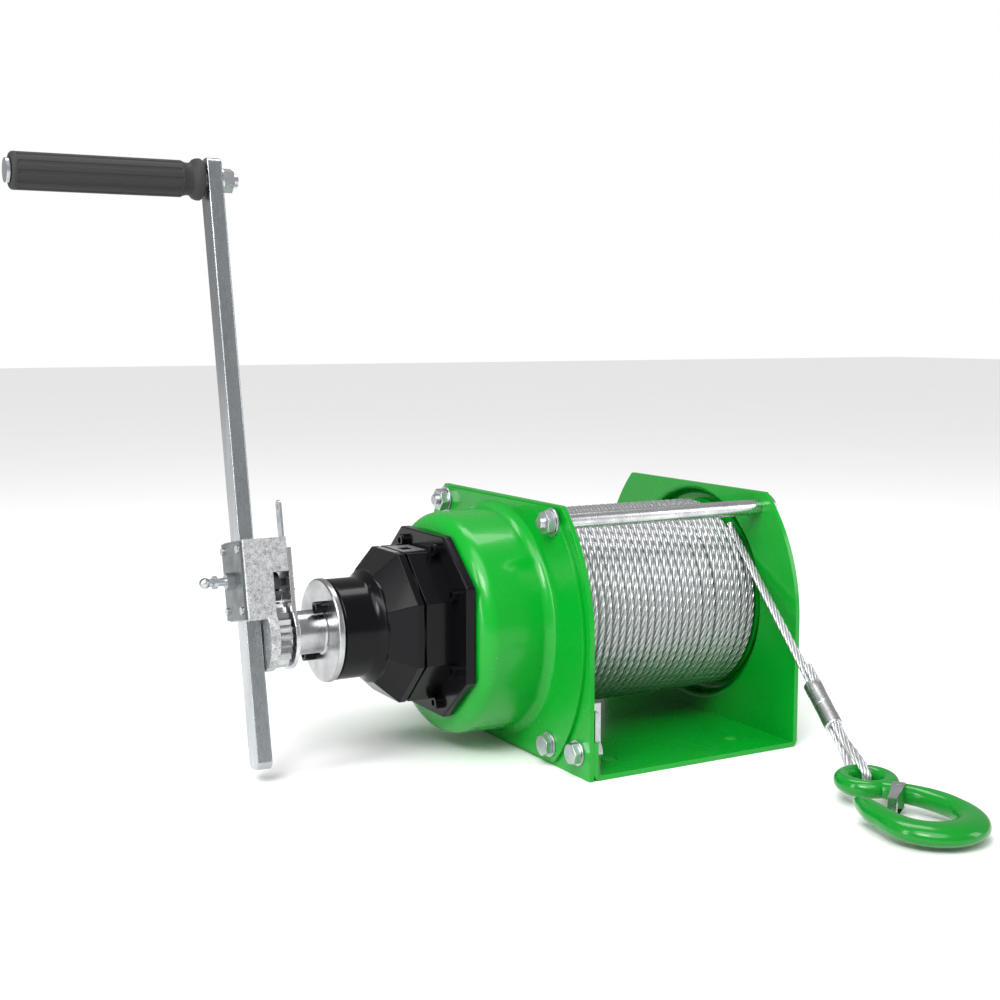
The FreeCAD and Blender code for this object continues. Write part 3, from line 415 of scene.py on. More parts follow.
GREEN = GlossPaint("green_enamel", Slot.GREEN)
HOOK_GREEN = GlossPaint("hook_enamel", Slot.GREEN, (0.001, 0.23, 0.016), (0.001, 0.17, 0.012), 0.16,
                        0.00009, 0.3)
BLACK = GlossPaint("black_enamel", Slot.BLACK, (0.003, 0.003, 0.004), (0.002, 0.002, 0.003), 0.14,
                   0.00002, 0.06, (0.03, 0.03, 0.034), 1.24)
ZINC = Plated("zinc_plate", Slot.ZINC)
BRIGHT = Plated("bright_zinc", Slot.ZINC, (0.74, 0.75, 0.76), (0.5, 0.51, 0.53), 0.2, 0.14)
CRANK = Plated("crank_plate", Slot.ZINC, (0.5, 0.53, 0.55), (0.34, 0.37, 0.39), 0.2, 0.14, (1, 1, 0.12), 60.0)
GREY = Plated("cover_plate", Slot.ZINC, (0.22, 0.24, 0.24), (0.13, 0.14, 0.15), 0.32, 0.16)
LABEL = Plated("blank_label", Slot.ZINC, (0.72, 0.73, 0.74), (0.6, 0.61, 0.62), 0.3, 0.1)
DARK = Plated("dark_steel", Slot.DARK, (0.09, 0.09, 0.1), (0.04, 0.04, 0.045), 0.38, 0.2)
CAST = RoughCast("plated_casting", Slot.CAST)
TURNED = Turned("turned_steel", Slot.POLISHED)
BRONZE = Plated("bronze_bush", Slot.BRONZE, (0.55, 0.36, 0.16), (0.4, 0.25, 0.1), 0.3, 0.15)
LINING = Moulded("brake_lining", Slot.LINING, (0.09, 0.06, 0.045), (0.16, 0.12, 0.09), 0.7, 0.0003)
RUBBER = Moulded("black_rubber", Slot.RUBBER, (0.006, 0.006, 0.006), (0.02, 0.02, 0.02), 0.6)
PLASTIC = Moulded("grip_plastic", Slot.GRIP, (0.006, 0.006, 0.007), (0.03, 0.03, 0.032), 0.34)
ROPE = Stranded("wire_rope", Slot.ROPE)

CAD_FINISHES: dict[Finish, tuple[str, ...]] = {
    GREEN: ("frame_shell", "left_side_plate", "gear_case", "drum_flange_left", "drum_flange_right",
            "bearing_cap", "drum_barrel"),
    HOOK_GREEN: ("hook",),
    BLACK: ("brake_housing", "stop_screws", "flange_screws"),
    RUBBER: ("flange_gasket",),
    PLASTIC: ("grip",),
    DARK: ("selector_pawl", "sun_gear", "planet_gear_1", "planet_gear_2", "planet_gear_3", "ring_gear",
           "planet_pins", "planet_carrier", "brake_hub", "brake_ratchet", "drive_plate", "brake_spring",
           "brake_pawl", "brake_pawl_pin", "drum_journal_right"),
    LINING: ("friction_discs",),
    BRONZE: ("journal_bush_left", "journal_bush_right", "neck_bush"),
    TURNED: ("drive_disc", "input_shaft", "crank_ratchet_wheel"),
    CAST: ("crank_head_casting",),
    CRANK: ("crank_bar",),
    GREY: ("crank_cover_plate",),
    BRIGHT: ("tie_rod_front", "ferrule", "hook_latch", "latch_pin", "crank_cheek_plate"),
    ZINC: ("bearing_cap_screws", "tie_rod_nuts", "lower_bolts", "corner_bracket_front", "corner_bracket_rear",
           "rope_clamp", "cover_rivets_and_nut", "lock_plunger", "selector_pin", "selector_lever",
           "grip_bolt", "grip_nut_and_washer"),
    ROPE: ("rope_tail", "rope_loop"),
}


# --------------------------------------------------------------------- making


def only(*chosen: bpy.types.Object) -> None:
    """Selects these objects and nothing else, the first one active."""
    bpy.ops.object.select_all(action="DESELECT")
    for piece in chosen:
        piece.select_set(True)
    bpy.context.view_layer.objects.active = chosen[0]


def apply_modifiers(piece: bpy.types.Object) -> None:
    """Applies every modifier of a piece."""
    only(piece)
    for modifier in list(piece.modifiers):
        bpy.ops.object.modifier_apply(modifier=modifier.name)


def softened(piece: bpy.types.Object, width: float, angle: float = 30.0, rings: int = 2,
             smooth: float = 35.0) -> None:
    """Rounds a piece's sharp edges and smooths its shading.

    Args:
        piece: The mesh to work on.
        width: Bevel width in metres.
        angle: Edges sharper than this many degrees are rounded.
        rings: Bevel segments.
        smooth: Faces that meet at less than this many degrees are shaded as one.
    """
    if width > 0:
        bevel = piece.modifiers.new("edges", "BEVEL")
        bevel.width = width
        bevel.segments = rings
        bevel.limit_method = "ANGLE"
        bevel.angle_limit = math.radians(angle)
        apply_modifiers(piece)
    only(piece)
    bpy.ops.object.shade_smooth_by_angle(angle=math.radians(smooth))
    weigh = piece.modifiers.new("weigh", "WEIGHTED_NORMAL")
    weigh.keep_sharp = True
    apply_modifiers(piece)


def put_on(piece: bpy.types.Object, finish: Finish, body: str, *nodes: str) -> bpy.types.Object:
    """Dresses a piece, lets it ride on a body, and lets it stand for CAD nodes.

    Args:
        piece: The finished mesh.
        finish: Its surface.
        body: The CAD body it moves with.
        *nodes: The CAD nodes that it replaces.

    Returns:
        The same piece.
    """
    piece.data.materials.clear()
    piece.data.materials.append(finish.material())
    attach(piece, body)
    if nodes:
        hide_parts(*nodes)
    LOG.info("%s: %d faces on %s", piece.name, len(piece.data.polygons), body)
    return piece


@dataclass
class Frame:
    """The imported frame, and the copies that are finished from it."""

    loaded: dict[str, Any]

    def copy(self, node: str, name: str) -> bpy.types.Object:
        """A merged copy of a CAD node, with flat faces joined into one.

        Args:
            node: The CAD node.
            name: The new piece's name.

        Returns:
            The new piece, which rides on nothing yet.
        """
        piece = bpy.data.objects.new(name, self.loaded["nodes"][node].data.copy())
        bpy.context.scene.collection.objects.link(piece)
        only(piece)
        bpy.ops.object.mode_set(mode="EDIT")
        bpy.ops.mesh.select_all(action="SELECT")
        bpy.ops.mesh.remove_doubles(threshold=MERGE_DISTANCE)
        bpy.ops.mesh.dissolve_limited(angle_limit=FLAT_ANGLE)
        bpy.ops.object.mode_set(mode="OBJECT")
        return piece

    def body(self, node: str) -> str:
        """The body that a CAD node rides on."""
        return self.loaded["nodes"][node]["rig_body"]

    def refine(self, node: str, finish: Finish, width: float, angle: float = 30.0) -> bpy.types.Object:
        """Replaces a CAD node by its copy with rounded edges."""
        piece = self.copy(node, node + "_finished")
        softened(piece, width, angle)
        return put_on(piece, finish, self.body(node), node)


def new_mesh(name: str, verts: Iterable[Sequence[float]], faces: Iterable[Sequence[int]]) -> bpy.types.Object:
    """A mesh object at the origin from points and faces."""
    mesh = bpy.data.meshes.new(name)
    mesh.from_pydata([tuple(v) for v in verts], [], [tuple(f) for f in faces])
    piece = bpy.data.objects.new(name, mesh)
    bpy.context.scene.collection.objects.link(piece)
    return piece


class Bench:
    """Edit-mode steps on one mesh, with its faces and edges chosen by their place."""

    def __init__(self, piece: bpy.types.Object) -> None:
        """Keeps the piece."""
        self.piece = piece

    @classmethod
    def turned(cls, name: str, profile: Sequence[tuple[float, float]], centre: tuple[float, float],
               sides: int = 48) -> Bench:
        """A piece turned about an axis along X, by pulling out one ring after another.

        Args:
            name: The piece's name.
            profile: X and radius of each ring, from the low end.
            centre: Y and Z of the axis.
            sides: Faces round it.

        Returns:
            The bench with the closed piece on it.
        """
        bpy.ops.object.select_all(action="DESELECT")
        place, radius = profile[0]
        bpy.ops.mesh.primitive_circle_add(
            vertices=sides, radius=radius, fill_type="NGON", location=(place, *centre),
            rotation=(0, math.pi / 2, 0))
        piece = bpy.context.active_object
        piece.name = name
        piece.data.name = name
        bpy.ops.object.transform_apply(location=True, rotation=True, scale=True)
        bench = cls(piece)
        bpy.ops.object.mode_set(mode="EDIT")
        bpy.ops.mesh.select_all(action="SELECT")
        for along, wide in profile[1:]:
            bpy.ops.mesh.extrude_region_move(TRANSFORM_OT_translate={"value": (along - place, 0, 0)})
            grown = wide / radius
            bpy.ops.transform.resize(value=(1, grown, grown), center_override=(along, *centre))
            place, radius = along, wide
        bpy.ops.mesh.select_all(action="SELECT")
        bpy.ops.mesh.normals_make_consistent(inside=False)
        bpy.ops.object.mode_set(mode="OBJECT")
        return bench

    @classmethod
    def block(cls, name: str, low: Sequence[float], high: Sequence[float]) -> Bench:
        """A box between two corners, ready to be shaped."""
        bpy.ops.object.select_all(action="DESELECT")
        middle = [(a + b) / 2 for a, b in zip(low, high)]
        bpy.ops.mesh.primitive_cube_add(size=1, location=middle, scale=[b - a for a, b in zip(low, high)])
        piece = bpy.context.active_object
        piece.name = name
        piece.data.name = name
        bpy.ops.object.transform_apply(location=True, rotation=True, scale=True)
        return cls(piece)

    def cut(self, point: Sequence[float], normal: Sequence[float]) -> None:
        """Cuts away what lies beyond a plane and closes the cut."""
        only(self.piece)
        bpy.ops.object.mode_set(mode="EDIT")
        bpy.ops.mesh.select_all(action="SELECT")
        bpy.ops.mesh.bisect(plane_co=tuple(point), plane_no=tuple(normal), use_fill=True, clear_outer=True)
        bpy.ops.object.mode_set(mode="OBJECT")

    def flats(self, count: int, reach: float, at: Sequence[float], start: float = 0.0,
              lean: float = 0.0) -> None:
        """Cuts flats round an axis along X.

        Args:
            count: How many flats.
            reach: Distance of each flat from the axis, at the point.
            at: A point on the axis.
            start: Angle of the first flat from +Y towards +Z, in degrees.
            lean: How far each flat faces towards -X, in degrees.
        """
        for index in range(count):
            angle = math.radians(start) + 2 * math.pi * index / count
            out = Vector((0, math.cos(angle), math.sin(angle)))
            tip = math.radians(lean)
            normal = out * math.cos(tip) - Vector((math.sin(tip), 0, 0))
            self.cut(Vector(at) + out * reach, normal)

    def faces(self, test: Callable[[Vector, Vector], bool]) -> int:
        """Selects the faces whose middle and normal pass a test, and enters edit mode."""
        only(self.piece)
        bpy.ops.object.mode_set(mode="EDIT")
        bpy.ops.mesh.select_mode(type="FACE")
        bpy.ops.mesh.select_all(action="DESELECT")
        bpy.ops.object.mode_set(mode="OBJECT")
        found = 0
        for face in self.piece.data.polygons:
            face.select = test(face.center, face.normal)
            found += face.select
        bpy.ops.object.mode_set(mode="EDIT")
        return found

    def edges(self, test: Callable[[Vector, Vector], bool]) -> int:
        """Selects the edges whose two ends pass a test, and enters edit mode."""
        only(self.piece)
        bpy.ops.object.mode_set(mode="EDIT")
        bpy.ops.mesh.select_mode(type="EDGE")
        bpy.ops.mesh.select_all(action="DESELECT")
        bpy.ops.object.mode_set(mode="OBJECT")
        mesh = self.piece.data
        found = 0
        for edge in mesh.edges:
            first, second = (mesh.vertices[index].co for index in edge.vertices)
            edge.select = test(first, second)
            found += edge.select
        bpy.ops.object.mode_set(mode="EDIT")
        return found

    def inset(self, thickness: float, depth: float) -> None:
        """Insets the selected faces as one region and pushes them, then leaves edit mode."""
        bpy.ops.mesh.inset(thickness=thickness, depth=depth, use_individual=False)
        bpy.ops.object.mode_set(mode="OBJECT")

    def bevel(self, width: float, rings: int = 1) -> None:
        """Bevels the selected edges and leaves edit mode."""
        bpy.ops.mesh.bevel(offset=width, segments=rings, affect="EDGES")
        bpy.ops.object.mode_set(mode="OBJECT")

    def moved(self, matrix: Matrix) -> Bench:
        """Carries the mesh by a matrix; the object stays at the origin."""
        self.piece.data.transform(matrix)
        self.piece.data.update()
        return self

    def soften(self, width: float, angle: float = 30.0, rings: int = 2, smooth: float = 35.0) -> Bench:
        """Rounds the sharp edges and smooths the shading."""
        softened(self.piece, width, angle, rings, smooth)
        return self


def joined(name: str, *pieces: bpy.types.Object) -> bpy.types.Object:
    """Joins pieces into the first one, under a new name."""
    only(*pieces)
    if len(pieces) > 1:
        bpy.ops.object.join()
    pieces[0].name = name
    pieces[0].data.name = name
    return pieces[0]


# ----------------------------------------------------------------------- rope


def spline_points(name: str, route: Sequence[Sequence[float]], fineness: int) -> np.ndarray:
    """Points along a smooth NURBS spline through a rope's route.

    Args:
        name: A name for the working curve.
        route: Control points in metres.
        fineness: Points per control point.

    Returns:
        The points, one row each.
    """
    curve = bpy.data.curves.new(name, "CURVE")
    curve.dimensions = "3D"
    curve.resolution_u = fineness
    spline = curve.splines.new("NURBS")
    spline.points.add(len(route) - 1)
    for point, place in zip(spline.points, route):
        point.co = (*place, 1.0)
    spline.order_u = 3
    spline.use_endpoint_u = True
    holder = bpy.data.objects.new(name, curve)
    bpy.context.scene.collection.objects.link(holder)
    bpy.context.view_layer.update()
    mesh = bpy.data.meshes.new_from_object(holder)
    points = np.array([v.co for v in mesh.vertices], float)
    bpy.data.meshes.remove(mesh)
    bpy.data.objects.remove(holder)
    bpy.data.curves.remove(curve)
    return points


@dataclass
class LaidRope:
    """Six-strand wire rope swept along a line."""

    diameter: float = ROPE_DIAMETER
    lay: float = 0.05
    strands: int = 6
    side_points: int = 4

    def outline(self) -> list[tuple[float, float]]:
        """Angle and radius round one section, with a groove between strands."""
        strand = self.diameter / 6
        centre = self.diameter / 2 - strand
        made = []
        for index in range(self.strands):
            for step in range(self.side_points):
                share = step / self.side_points
                off = (share - 0.5) * 2 * math.pi / self.strands
                inside = max(strand**2 - (centre * math.sin(off)) ** 2, 0.0)
                radius = centre * math.cos(off) + math.sqrt(inside)
                made.append(((index + share) * 2 * math.pi / self.strands, radius))
        return made

    def sweep(self, name: str, line: np.ndarray, start: float = 0.0) -> bpy.types.Object:
        """Builds the rope's mesh along a line, with U along it and V round it.

        Args:
            name: The piece's name.
            line: Points of the centreline.
            start: Twist at the first point, in turns.

        Returns:
            The mesh object.
        """
        steps = np.linalg.norm(np.diff(line, axis=0), axis=1)
        run = np.concatenate([[0.0], np.cumsum(steps)])
        tangents = np.gradient(line, axis=0)
        tangents /= np.linalg.norm(tangents, axis=1)[:, None]
        first = np.cross(tangents[0], (0.31, 0.47, 0.83))
        side = first / np.linalg.norm(first)
        section = self.outline()
        angles = np.array([a for a, _ in section])
        radii = np.array([r for _, r in section])
        rings = []
        for index, tangent in enumerate(tangents):
            side = side - tangent * float(side @ tangent)
            side /= np.linalg.norm(side)
            up = np.cross(tangent, side)
            turned = angles + 2 * math.pi * (start + run[index] / self.lay)
            offsets = np.outer(radii * np.cos(turned), side) + np.outer(radii * np.sin(turned), up)
            rings.append(line[index] + offsets)
        count = len(section)
        verts = np.concatenate(rings)
        faces = []
        for ring in range(len(line) - 1):
            low, high = ring * count, (ring + 1) * count
            for corner in range(count):
                after = (corner + 1) % count
                faces.append((low + corner, low + after, high + after, high + corner))
        last = (len(line) - 1) * count
        faces.append(tuple(reversed(range(count))))
        faces.append(tuple(range(last, last + count)))
        piece = new_mesh(name, verts, faces)
        layer = piece.data.uv_layers.new(name="rope")
        flat = []
        for ring in range(len(line) - 1):
            for corner in range(count):
                low, high = corner / count, (corner + 1) / count
                flat += [run[ring], low, run[ring], high, run[ring + 1], high, run[ring + 1], low]
        flat += [0.0] * (4 * count)
        layer.data.foreach_set("uv", flat)
        only(piece)
        bpy.ops.object.shade_smooth_by_angle(angle=ROPE_SMOOTH)
        return piece


@dataclass
class Winding:
    """The rope on the drum, in two layers."""

    start: float = -0.0852
    end: float = 0.0995
    lay_radius: float = 0.0805
    under_radius: float = 0.0742
    turns: int = 27
    per_turn: int = 16
    last_angle: float = 2.205
    loose: float = 0.0013
    rope: LaidRope = field(default_factory=LaidRope)

    def coil(self, radius: float, start: float, end: float, turns: float, loose: float) -> list[Point]:
        """Control points of one layer, which ends where the free rope leaves.

        Args:
            radius: Radius of the rope's centreline.
            start: X of the first turn.
            end: X of the last turn.
            turns: How many turns there are.
            loose: How unevenly the last turns lie, in metres.

        Returns:
            The control points.
        """
        chance = random.Random(7)
        count = int(turns * self.per_turn)
        spread = radius * 2 / (1 + math.cos(math.pi / self.per_turn))
        sway = [chance.uniform(-1, 1) for _ in range(int(turns) + 3)]
        made = []
        for index in range(count + 1):
            share = index / count
            turn = share * turns
            whole = int(turn)
            part = turn - whole
            wander = sway[whole] * (1 - part) + sway[whole + 1] * part
            free = max(0.0, share - 0.6) / 0.4
            settle = min(1.0, (1 - share) * 12)
            x = start + (end - start) * share + wander * (0.0002 + loose * free * settle)
            angle = self.last_angle + (turns - turn) * 2 * math.pi
            made.append((x, spread * math.cos(angle), AXIS_HEIGHT + spread * math.sin(angle)))
        return made

    def build(self) -> None:
        """Makes both layers."""
        under = spline_points("under_line", self.coil(self.under_radius, self.end, self.start, 26, 0), 3)
        put_on(LaidRope(side_points=2).sweep("rope_under_turns", under), ROPE, "drum")
        route = self.coil(self.lay_radius, self.start, self.end, self.turns, self.loose)
        over = spline_points("over_line", route, 7)
        put_on(self.rope.sweep("rope_turns", over), ROPE, "drum", "rope_winding")


@dataclass
class RopeEnd:
    """The taut lead to the pressed ferrule, and the loop through the hook's eye."""

    leave: Point = (0.1, -0.0477, 0.1728)
    eye_bar: Point = (0.05589, -0.2614, 0.0156)
    ferrule_length: float = 0.043
    ferrule_radius: float = 0.0071
    loop_reach: float = 0.045
    bar_run: Point = (0.906, -0.423, 0.0)
    stub_length: float = 0.012
    stub_offset: float = 0.0071
    rope: LaidRope = field(default_factory=lambda: LaidRope(side_points=6))

    def build(self) -> None:
        """Makes the lead, the ferrule with its dead end, and the loop."""
        leave, bar = Vector(self.leave), Vector(self.eye_bar)
        whole = (bar - leave).length
        along = (bar - leave).normalized()
        side = along.cross(Vector(self.bar_run)).normalized()
        crimp, end = whole - self.loop_reach - self.ferrule_length, whole - self.loop_reach
        route = [leave + along * (end * share) for share in (0, 0.2, 0.4, 0.6, 0.8, 1.0)]
        line = spline_points("lead_line", route, 14)
        lead = put_on(self.rope.sweep("rope_lead_strands", line), ROPE, "rope_end", "rope_tail")
        ferrule = self.ferrule(leave + along * crimp, leave + along * end, along, side)
        stub_start = leave + along * (crimp - self.stub_length) + side * self.stub_offset
        stub_route = [stub_start + along * step for step in (0, 0.008, 0.016)]
        stub = self.rope.sweep("rope_dead_end", spline_points("stub_line", stub_route, 6), 0.3)
        put_on(stub, ROPE, "rope_end")
        loop = self.loop(leave + along * end, along, side)

    def ferrule(self, top: Vector, foot: Vector, along: Vector, side: Vector) -> bpy.types.Object:
        """The pressed aluminium sleeve, made as a round tube with soft rims and press marks."""
        length, radius = (foot - top).length, self.ferrule_radius
        rim = 0.0009
        profile = [(0, radius * 0.62), (0, radius - rim), (rim, radius), (length * 0.22, radius),
                   (length * 0.25, radius * 0.965), (length * 0.47, radius * 0.965), (length * 0.5, radius),
                   (length * 0.53, radius * 0.965), (length * 0.75, radius * 0.965), (length * 0.78, radius),
                   (length - rim, radius), (length, radius - rim), (length, radius * 0.62)]
        bench = Bench.turned("ferrule_sleeve", profile, (0, 0), 40)
        across = along.cross(side).normalized()
        turn = Matrix((along, side, across)).transposed().to_4x4()
        bench.moved(Matrix.Translation(top) @ turn)
        bench.soften(0.0004, 20)
        return put_on(bench.piece, BRIGHT, "rope_end", "ferrule")

    def loop(self, foot: Vector, along: Vector, side: Vector) -> bpy.types.Object:
        """The two legs, which lie together until they part round the eye's bar."""
        gap = ROPE_DIAMETER / 2 + 0.0001
        shape = [(-0.008, gap), (0.008, gap), (0.02, gap + 0.0008), (0.031, gap + 0.0042), (0.043, 0.0108),
                 (0.0545, 0.0108), (0.0568, 0.0)]
        legs = shape + [(u, -v) for u, v in reversed(shape[:-1])]
        route = [foot + along * u + side * v for u, v in legs]
        line = spline_points("loop_line", route, 10)
        return put_on(self.rope.sweep("rope_loop_strands", line), ROPE, "rope_end", "rope_loop")


# ------------------------------------------------------------------- hardware


LEAN = Matrix.Translation((0, 0, AXIS_HEIGHT)) @ Matrix.Rotation(-CRANK_LEAN, 4, "X")


@dataclass
class Fasteners:
    """Hexagon nuts and bolt heads with washers and thread ends, all along X."""

    made: list[bpy.types.Object] = field(default_factory=list)

    def hexagon(self, low: float, high: float, radius: float, centre: tuple[float, float],
                turn: float) -> None:
        """A chamfered hexagon between two X places.

        Args:
            low: X of its first face.
            high: X of its last face.
            radius: Distance of its corners from the axis.
            centre: Y and Z of the axis.
            turn: Angle of its first flat, in degrees.
        """
        chamfer, face = radius * 0.14, radius * 0.84
        profile = [(low, face), (low + chamfer * 0.5, radius), (high - chamfer * 0.5, radius), (high, face)]
        bench = Bench.turned("hexagon", profile, centre, 36)
        bench.flats(6, radius * math.cos(math.pi / 6), (low, *centre), turn)
        self.made.append(bench.soften(0.0002, 25).piece)

    def disc(self, low: float, high: float, radius: float, centre: tuple[float, float]) -> None:
        """A washer with rounded rims."""
        bench = Bench.turned("washer", [(low, radius), (high, radius)], centre, 40)
        self.made.append(bench.soften(0.0004, 30).piece)

    def thread(self, low: float, high: float, radius: float, centre: tuple[float, float]) -> None:
        """A threaded end, as a row of ridges with chamfered tips."""
        pitch, depth = 0.0013, 0.0004
        ridges = max(1, int((high - low) / pitch))
        step = (high - low) / ridges
        profile = [(low, radius - 2.5 * depth)]
        for index in range(ridges):
            profile += [(low + (index + 0.25) * step, radius - depth), (low + (index + 0.6) * step, radius)]
        profile.append((high, radius - 2.5 * depth))
        self.made.append(Bench.turned("thread", profile, centre, 28).soften(0, 30).piece)

    def build(self) -> None:
        """Makes the tie-rod corners and the low bolts."""
        for y, turn in ((-89, 12), (89, 40)):
            at = (y * MM, 193 * MM)
            self.disc(-105.6 * MM, -104 * MM, 11 * MM, at)
            self.hexagon(-112.6 * MM, -105.6 * MM, 9.8 * MM, at, turn)
            self.thread(-116.6 * MM, -111 * MM, 4.8 * MM, at)
        self.hexagon(-97 * MM, -90 * MM, 9.8 * MM, (89 * MM, 193 * MM), 20)
        self.thread(-91 * MM, -88 * MM, 4.8 * MM, (89 * MM, 193 * MM))
        front = (-89 * MM, 193 * MM)
        self.disc(101 * MM, 102.6 * MM, 11 * MM, front)
        self.hexagon(102.6 * MM, 109.6 * MM, 9.8 * MM, front, 7)
        self.thread(108 * MM, 113.6 * MM, 4.8 * MM, front)
        put_on(joined("corner_nuts", *self.made), ZINC, "frame", "tie_rod_nuts")
        self.made.clear()
        for y, z, head, inside, turn in ((-86, 17, -104, -93, 5), (86, 17, -104, -93, 33),
                                         (-123, 19, -101, -90, 21), (123, 19, -101, -90, 48)):
            at = (y * MM, z * MM)
            self.disc((head - 1.5) * MM, head * MM, 10 * MM, at)
            self.hexagon((head - 7.5) * MM, (head - 1.5) * MM, 8.8 * MM, at, turn)
            self.hexagon(inside * MM, (inside + 7) * MM, 8.8 * MM, at, turn + 17)
            self.disc((head - 1) * MM, (inside + 1) * MM, 4.9 * MM, at)
        put_on(joined("low_bolt_set", *self.made), ZINC, "frame", "lower_bolts")


@dataclass
class Housing:
    """The black brake housing: octagonal flange, two faceted bands, cone and neck."""

    apothem: float = 0.059
    centre: tuple[float, float] = (0.0, AXIS_HEIGHT)

    def build(self) -> None:
        """Makes the housing with its blank label."""
        turned = Bench.turned("housing_drum", [
            (-0.2225, 0.0465), (-0.2060, 0.0640), (-0.1990, 0.0640), (-0.1984, 0.0575), (-0.1974, 0.0575),
            (-0.1968, 0.0640), (-0.1720, 0.0640)], self.centre, 96)
        turned.flats(8, self.apothem, (0, *self.centre))
        turned.flats(8, self.apothem, (-0.2045, *self.centre), 0, 42)
        turned.soften(0.0009, 18, 2, 20)
        neck = Bench.turned("housing_neck", [
            (-0.2545, 0.0385), (-0.2535, 0.0395), (-0.2305, 0.0395), (-0.2280, 0.0402), (-0.2255, 0.0418),
            (-0.2230, 0.0448), (-0.2200, 0.0448)], self.centre, 64)
        neck.soften(0.0004, 30)
        plate = Bench.block("housing_plate", (-0.1726, -0.078, 0.036), (-0.1646, 0.078, 0.18))
        for side in (-1, 1):
            for up in (-1, 1):
                plate.cut((0, side * 0.078, AXIS_HEIGHT + up * 0.037), (0, side * 0.6494, up * 0.7605))
        plate.soften(0.0012, 20, 2, 20)
        shell = joined("housing_shell", turned.piece, neck.piece, plate.piece)
        put_on(shell, BLACK, "frame", "brake_housing")
        top = AXIS_HEIGHT + self.apothem
        foot, face = top - 0.0005, top + 0.0003
        label = Bench.block("housing_label", (-0.2035, -0.016, foot), (-0.1995, 0.016, face))
        wide = Bench.block("label_wide", (-0.196, -0.016, foot), (-0.176, 0.016, face))
        put_on(joined("housing_label", label.piece, wide.piece), LABEL, "frame")
        mark = Bench.block("label_mark", (-0.192, -0.007, top), (-0.184, 0.003, top + 0.0005))
        put_on(mark.piece, BLACK, "frame")


class Crank:
    """The sliding crank bar and its fluted grip."""

    def bar(self) -> None:
        """A bright flat bar with rounded ends."""
        foot, head = -0.099, 0.369
        bench = Bench.block("bar_blank", (-0.323, -0.01, foot), (-0.311, 0.01, head))
        for end in (foot, head):
            def across(first: Vector, second: Vector, level: float = end) -> bool:
                """Edges along X at one end of the bar."""
                off = max(abs(first.z - level), abs(second.z - level))
                return off < 1e-6 and abs(first.x - second.x) > 0.005

            bench.edges(across)
            bench.bevel(0.006, 5)
        bench.moved(LEAN)
        bench.soften(0.0012, 30, 3)
        bench.piece.name = "crank_bar_bright"
        put_on(bench.piece, CRANK, "crank_bar", "crank_bar")

    def grip(self) -> None:
        """A moulded grip with wide flutes, a neck and a flared collar."""
        centre, sides = (0.06735, 0.4545), 48
        bench = Bench.turned("grip_moulded", [
            (-0.468, 0.0105), (-0.468, 0.0125), (-0.4668, 0.0137), (-0.4645, 0.014), (-0.3425, 0.014),
            (-0.3400, 0.0128), (-0.3375, 0.0122), (-0.3345, 0.0124), (-0.3320, 0.0150), (-0.3300, 0.0158),
            (-0.3272, 0.016), (-0.326, 0.0150), (-0.326, 0.0105)], centre, sides)

        def groove(middle: Vector, _normal: Vector) -> bool:
            """Long faces that belong to a flute."""
            turn = math.atan2(middle.z - centre[1], middle.y - centre[0]) % (2 * math.pi)
            return -0.46 < middle.x < -0.345 and int(turn / (2 * math.pi) * sides) % 4 < 2

        bench.faces(groove)
        bench.inset(0.0007, -0.0008)
        bench.soften(0.0003, 25)
        put_on(bench.piece, PLASTIC, "grip", "grip")


# ---------------------------------------------------------------------- stage


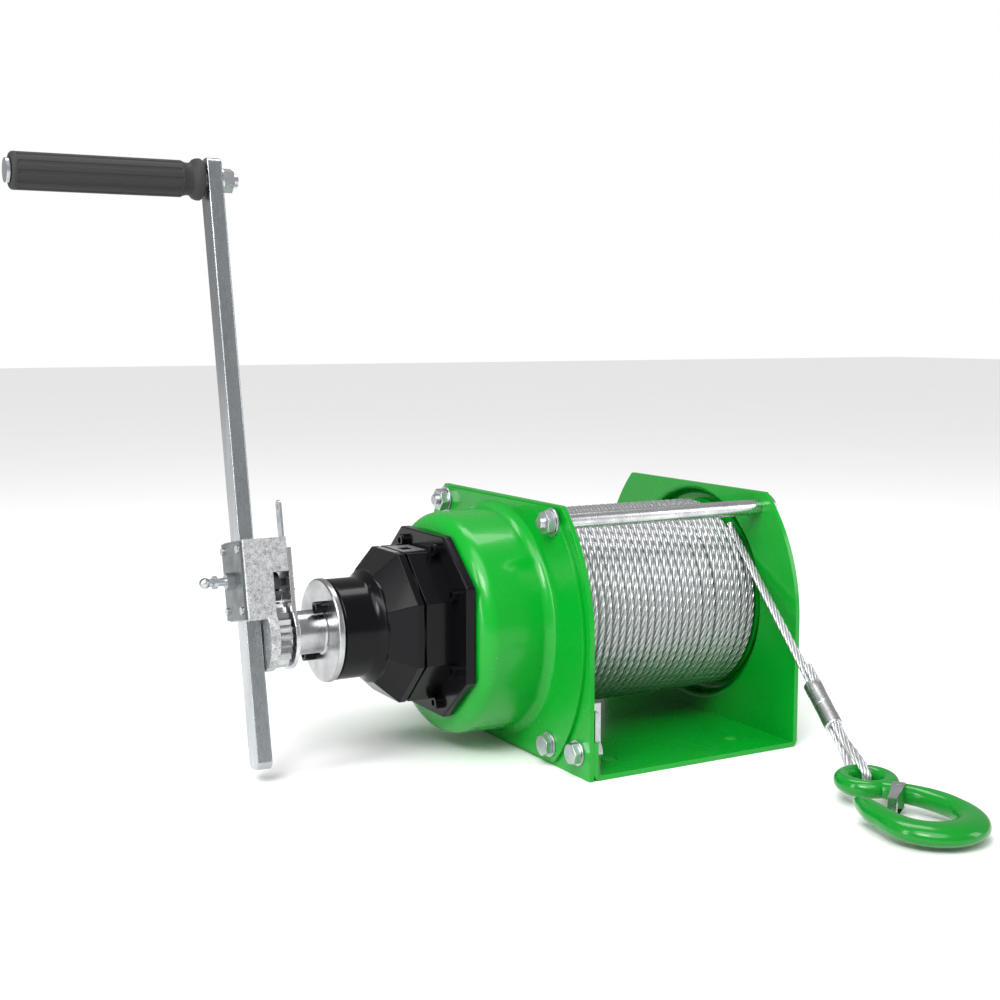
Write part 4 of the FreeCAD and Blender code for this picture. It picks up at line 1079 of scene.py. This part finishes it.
@dataclass
class Studio:
    """A pale floor, soft lights and the camera."""

    eye: Point = (-0.6941, -1.0573, 0.3417)
    forward: Point = (0.4866, 0.8660, -0.1153)
    right: Point = (0.8718, -0.4899, 0.0)
    lens: float = 53.47
    floor_half: float = 12.0
    sky_light: float = 0.36

    def camera(self) -> None:
        """Makes the camera."""
        lens = bpy.data.cameras.new("camera")
        lens.lens = self.lens
        lens.sensor_width = 36.0
        lens.clip_start, lens.clip_end = 0.02, 60.0
        holder = bpy.data.objects.new("camera", lens)
        bpy.context.scene.collection.objects.link(holder)
        ahead, right = Vector(self.forward).normalized(), Vector(self.right).normalized()
        up = right.cross(ahead)
        turn = Matrix((right, up, -ahead)).transposed().to_4x4()
        holder.matrix_world = Matrix.Translation(self.eye) @ turn
        bpy.context.scene.camera = holder

    def lamp(self, name: str, place: Point, target: Point, size: tuple[float, float], power: float) -> None:
        """Adds one rectangular soft light that looks at a target."""
        light = bpy.data.lights.new(name, "AREA")
        light.shape = "RECTANGLE"
        light.size, light.size_y = size
        light.energy = power
        holder = bpy.data.objects.new(name, light)
        bpy.context.scene.collection.objects.link(holder)
        holder.location = place
        holder.rotation_euler = (Vector(target) - Vector(place)).to_track_quat("-Z", "Y").to_euler()

    def sun(self) -> None:
        """Adds a wide, soft sun that lights the whole floor evenly."""
        light = bpy.data.lights.new("sun", "SUN")
        light.energy = 2.1
        light.angle = math.radians(50)
        holder = bpy.data.objects.new("sun", light)
        bpy.context.scene.collection.objects.link(holder)
        holder.rotation_euler = Vector((0.42, 0.5, -0.9)).to_track_quat("-Z", "Y").to_euler()

    def sky(self) -> None:
        """A white backdrop that lights the object only softly."""
        world = bpy.data.worlds.new("sky")
        world.use_nodes = True
        tree = world.node_tree
        ground = tree.nodes["Background"]
        ray = tree.nodes.new("ShaderNodeLightPath")
        level = tree.nodes.new("ShaderNodeMapRange")
        level.inputs["To Min"].default_value = self.sky_light
        level.inputs["To Max"].default_value = 1.0
        tree.links.new(ray.outputs["Is Camera Ray"], level.inputs["Value"])
        tree.links.new(level.outputs[0], ground.inputs[1])
        ground.inputs[0].default_value = (1, 1, 1, 1)
        bpy.context.scene.world = world

    def build(self) -> None:
        """Makes the floor, lights, sky and camera."""
        bpy.ops.object.select_all(action="DESELECT")
        bpy.ops.mesh.primitive_plane_add(size=2 * self.floor_half, location=(0, 0, 0))
        floor = bpy.context.active_object
        floor.name = "floor"
        bpy.ops.object.transform_apply(location=True, rotation=True, scale=True)
        net = Net("pale_floor")
        soft = net.noise(3, 2)
        floor.data.materials.append(net.finish(
            Base_Color=net.mix(soft, (0.93, 0.93, 0.93), (0.9, 0.9, 0.9)), Roughness=0.8))
        middle = (0.0, 0.0, 0.15)
        self.lamp("key", (-1.5, -1.3, 1.7), middle, (0.9, 0.7), 26)
        self.lamp("strip", (-1.5, -0.2, 0.7), middle, (0.25, 1.3), 8)
        self.lamp("fill", (1.7, -1.6, 0.9), middle, (0.7, 1.3), 12)
        self.lamp("top", (0.2, 0.4, 1.9), middle, (1.2, 0.5), 12)
        self.sun()
        self.sky()
        bpy.context.scene.view_settings.view_transform = "Standard"
        self.camera()


def main() -> None:
    """Builds the looks piece by piece."""
    logging.basicConfig(level=logging.INFO, format="%(name)s: %(message)s")
    frame = Frame(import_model())
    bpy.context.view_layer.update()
    Studio().build()
    for finish, nodes in CAD_FINISHES.items():
        for node in nodes:
            piece = frame.loaded["nodes"][node]
            piece.data.materials.clear()
            piece.data.materials.append(finish.material())
    Winding().build()
    RopeEnd().build()
    for node in ("frame_shell", "left_side_plate", "gear_case"):
        frame.refine(node, GREEN, 0.0008)
    Housing().build()
    Fasteners().build()
    Crank().bar()
    Crank().grip()
    frame.refine("crank_head_casting", CAST, 0.0008)
    frame.refine("crank_cheek_plate", BRIGHT, 0.0005)
    frame.refine("crank_cover_plate", GREY, 0.0005)
    frame.refine("drive_disc", TURNED, 0.0005)
    frame.refine("hook_latch", BRIGHT, 0.0004)


if __name__ == "__main__":
    main()
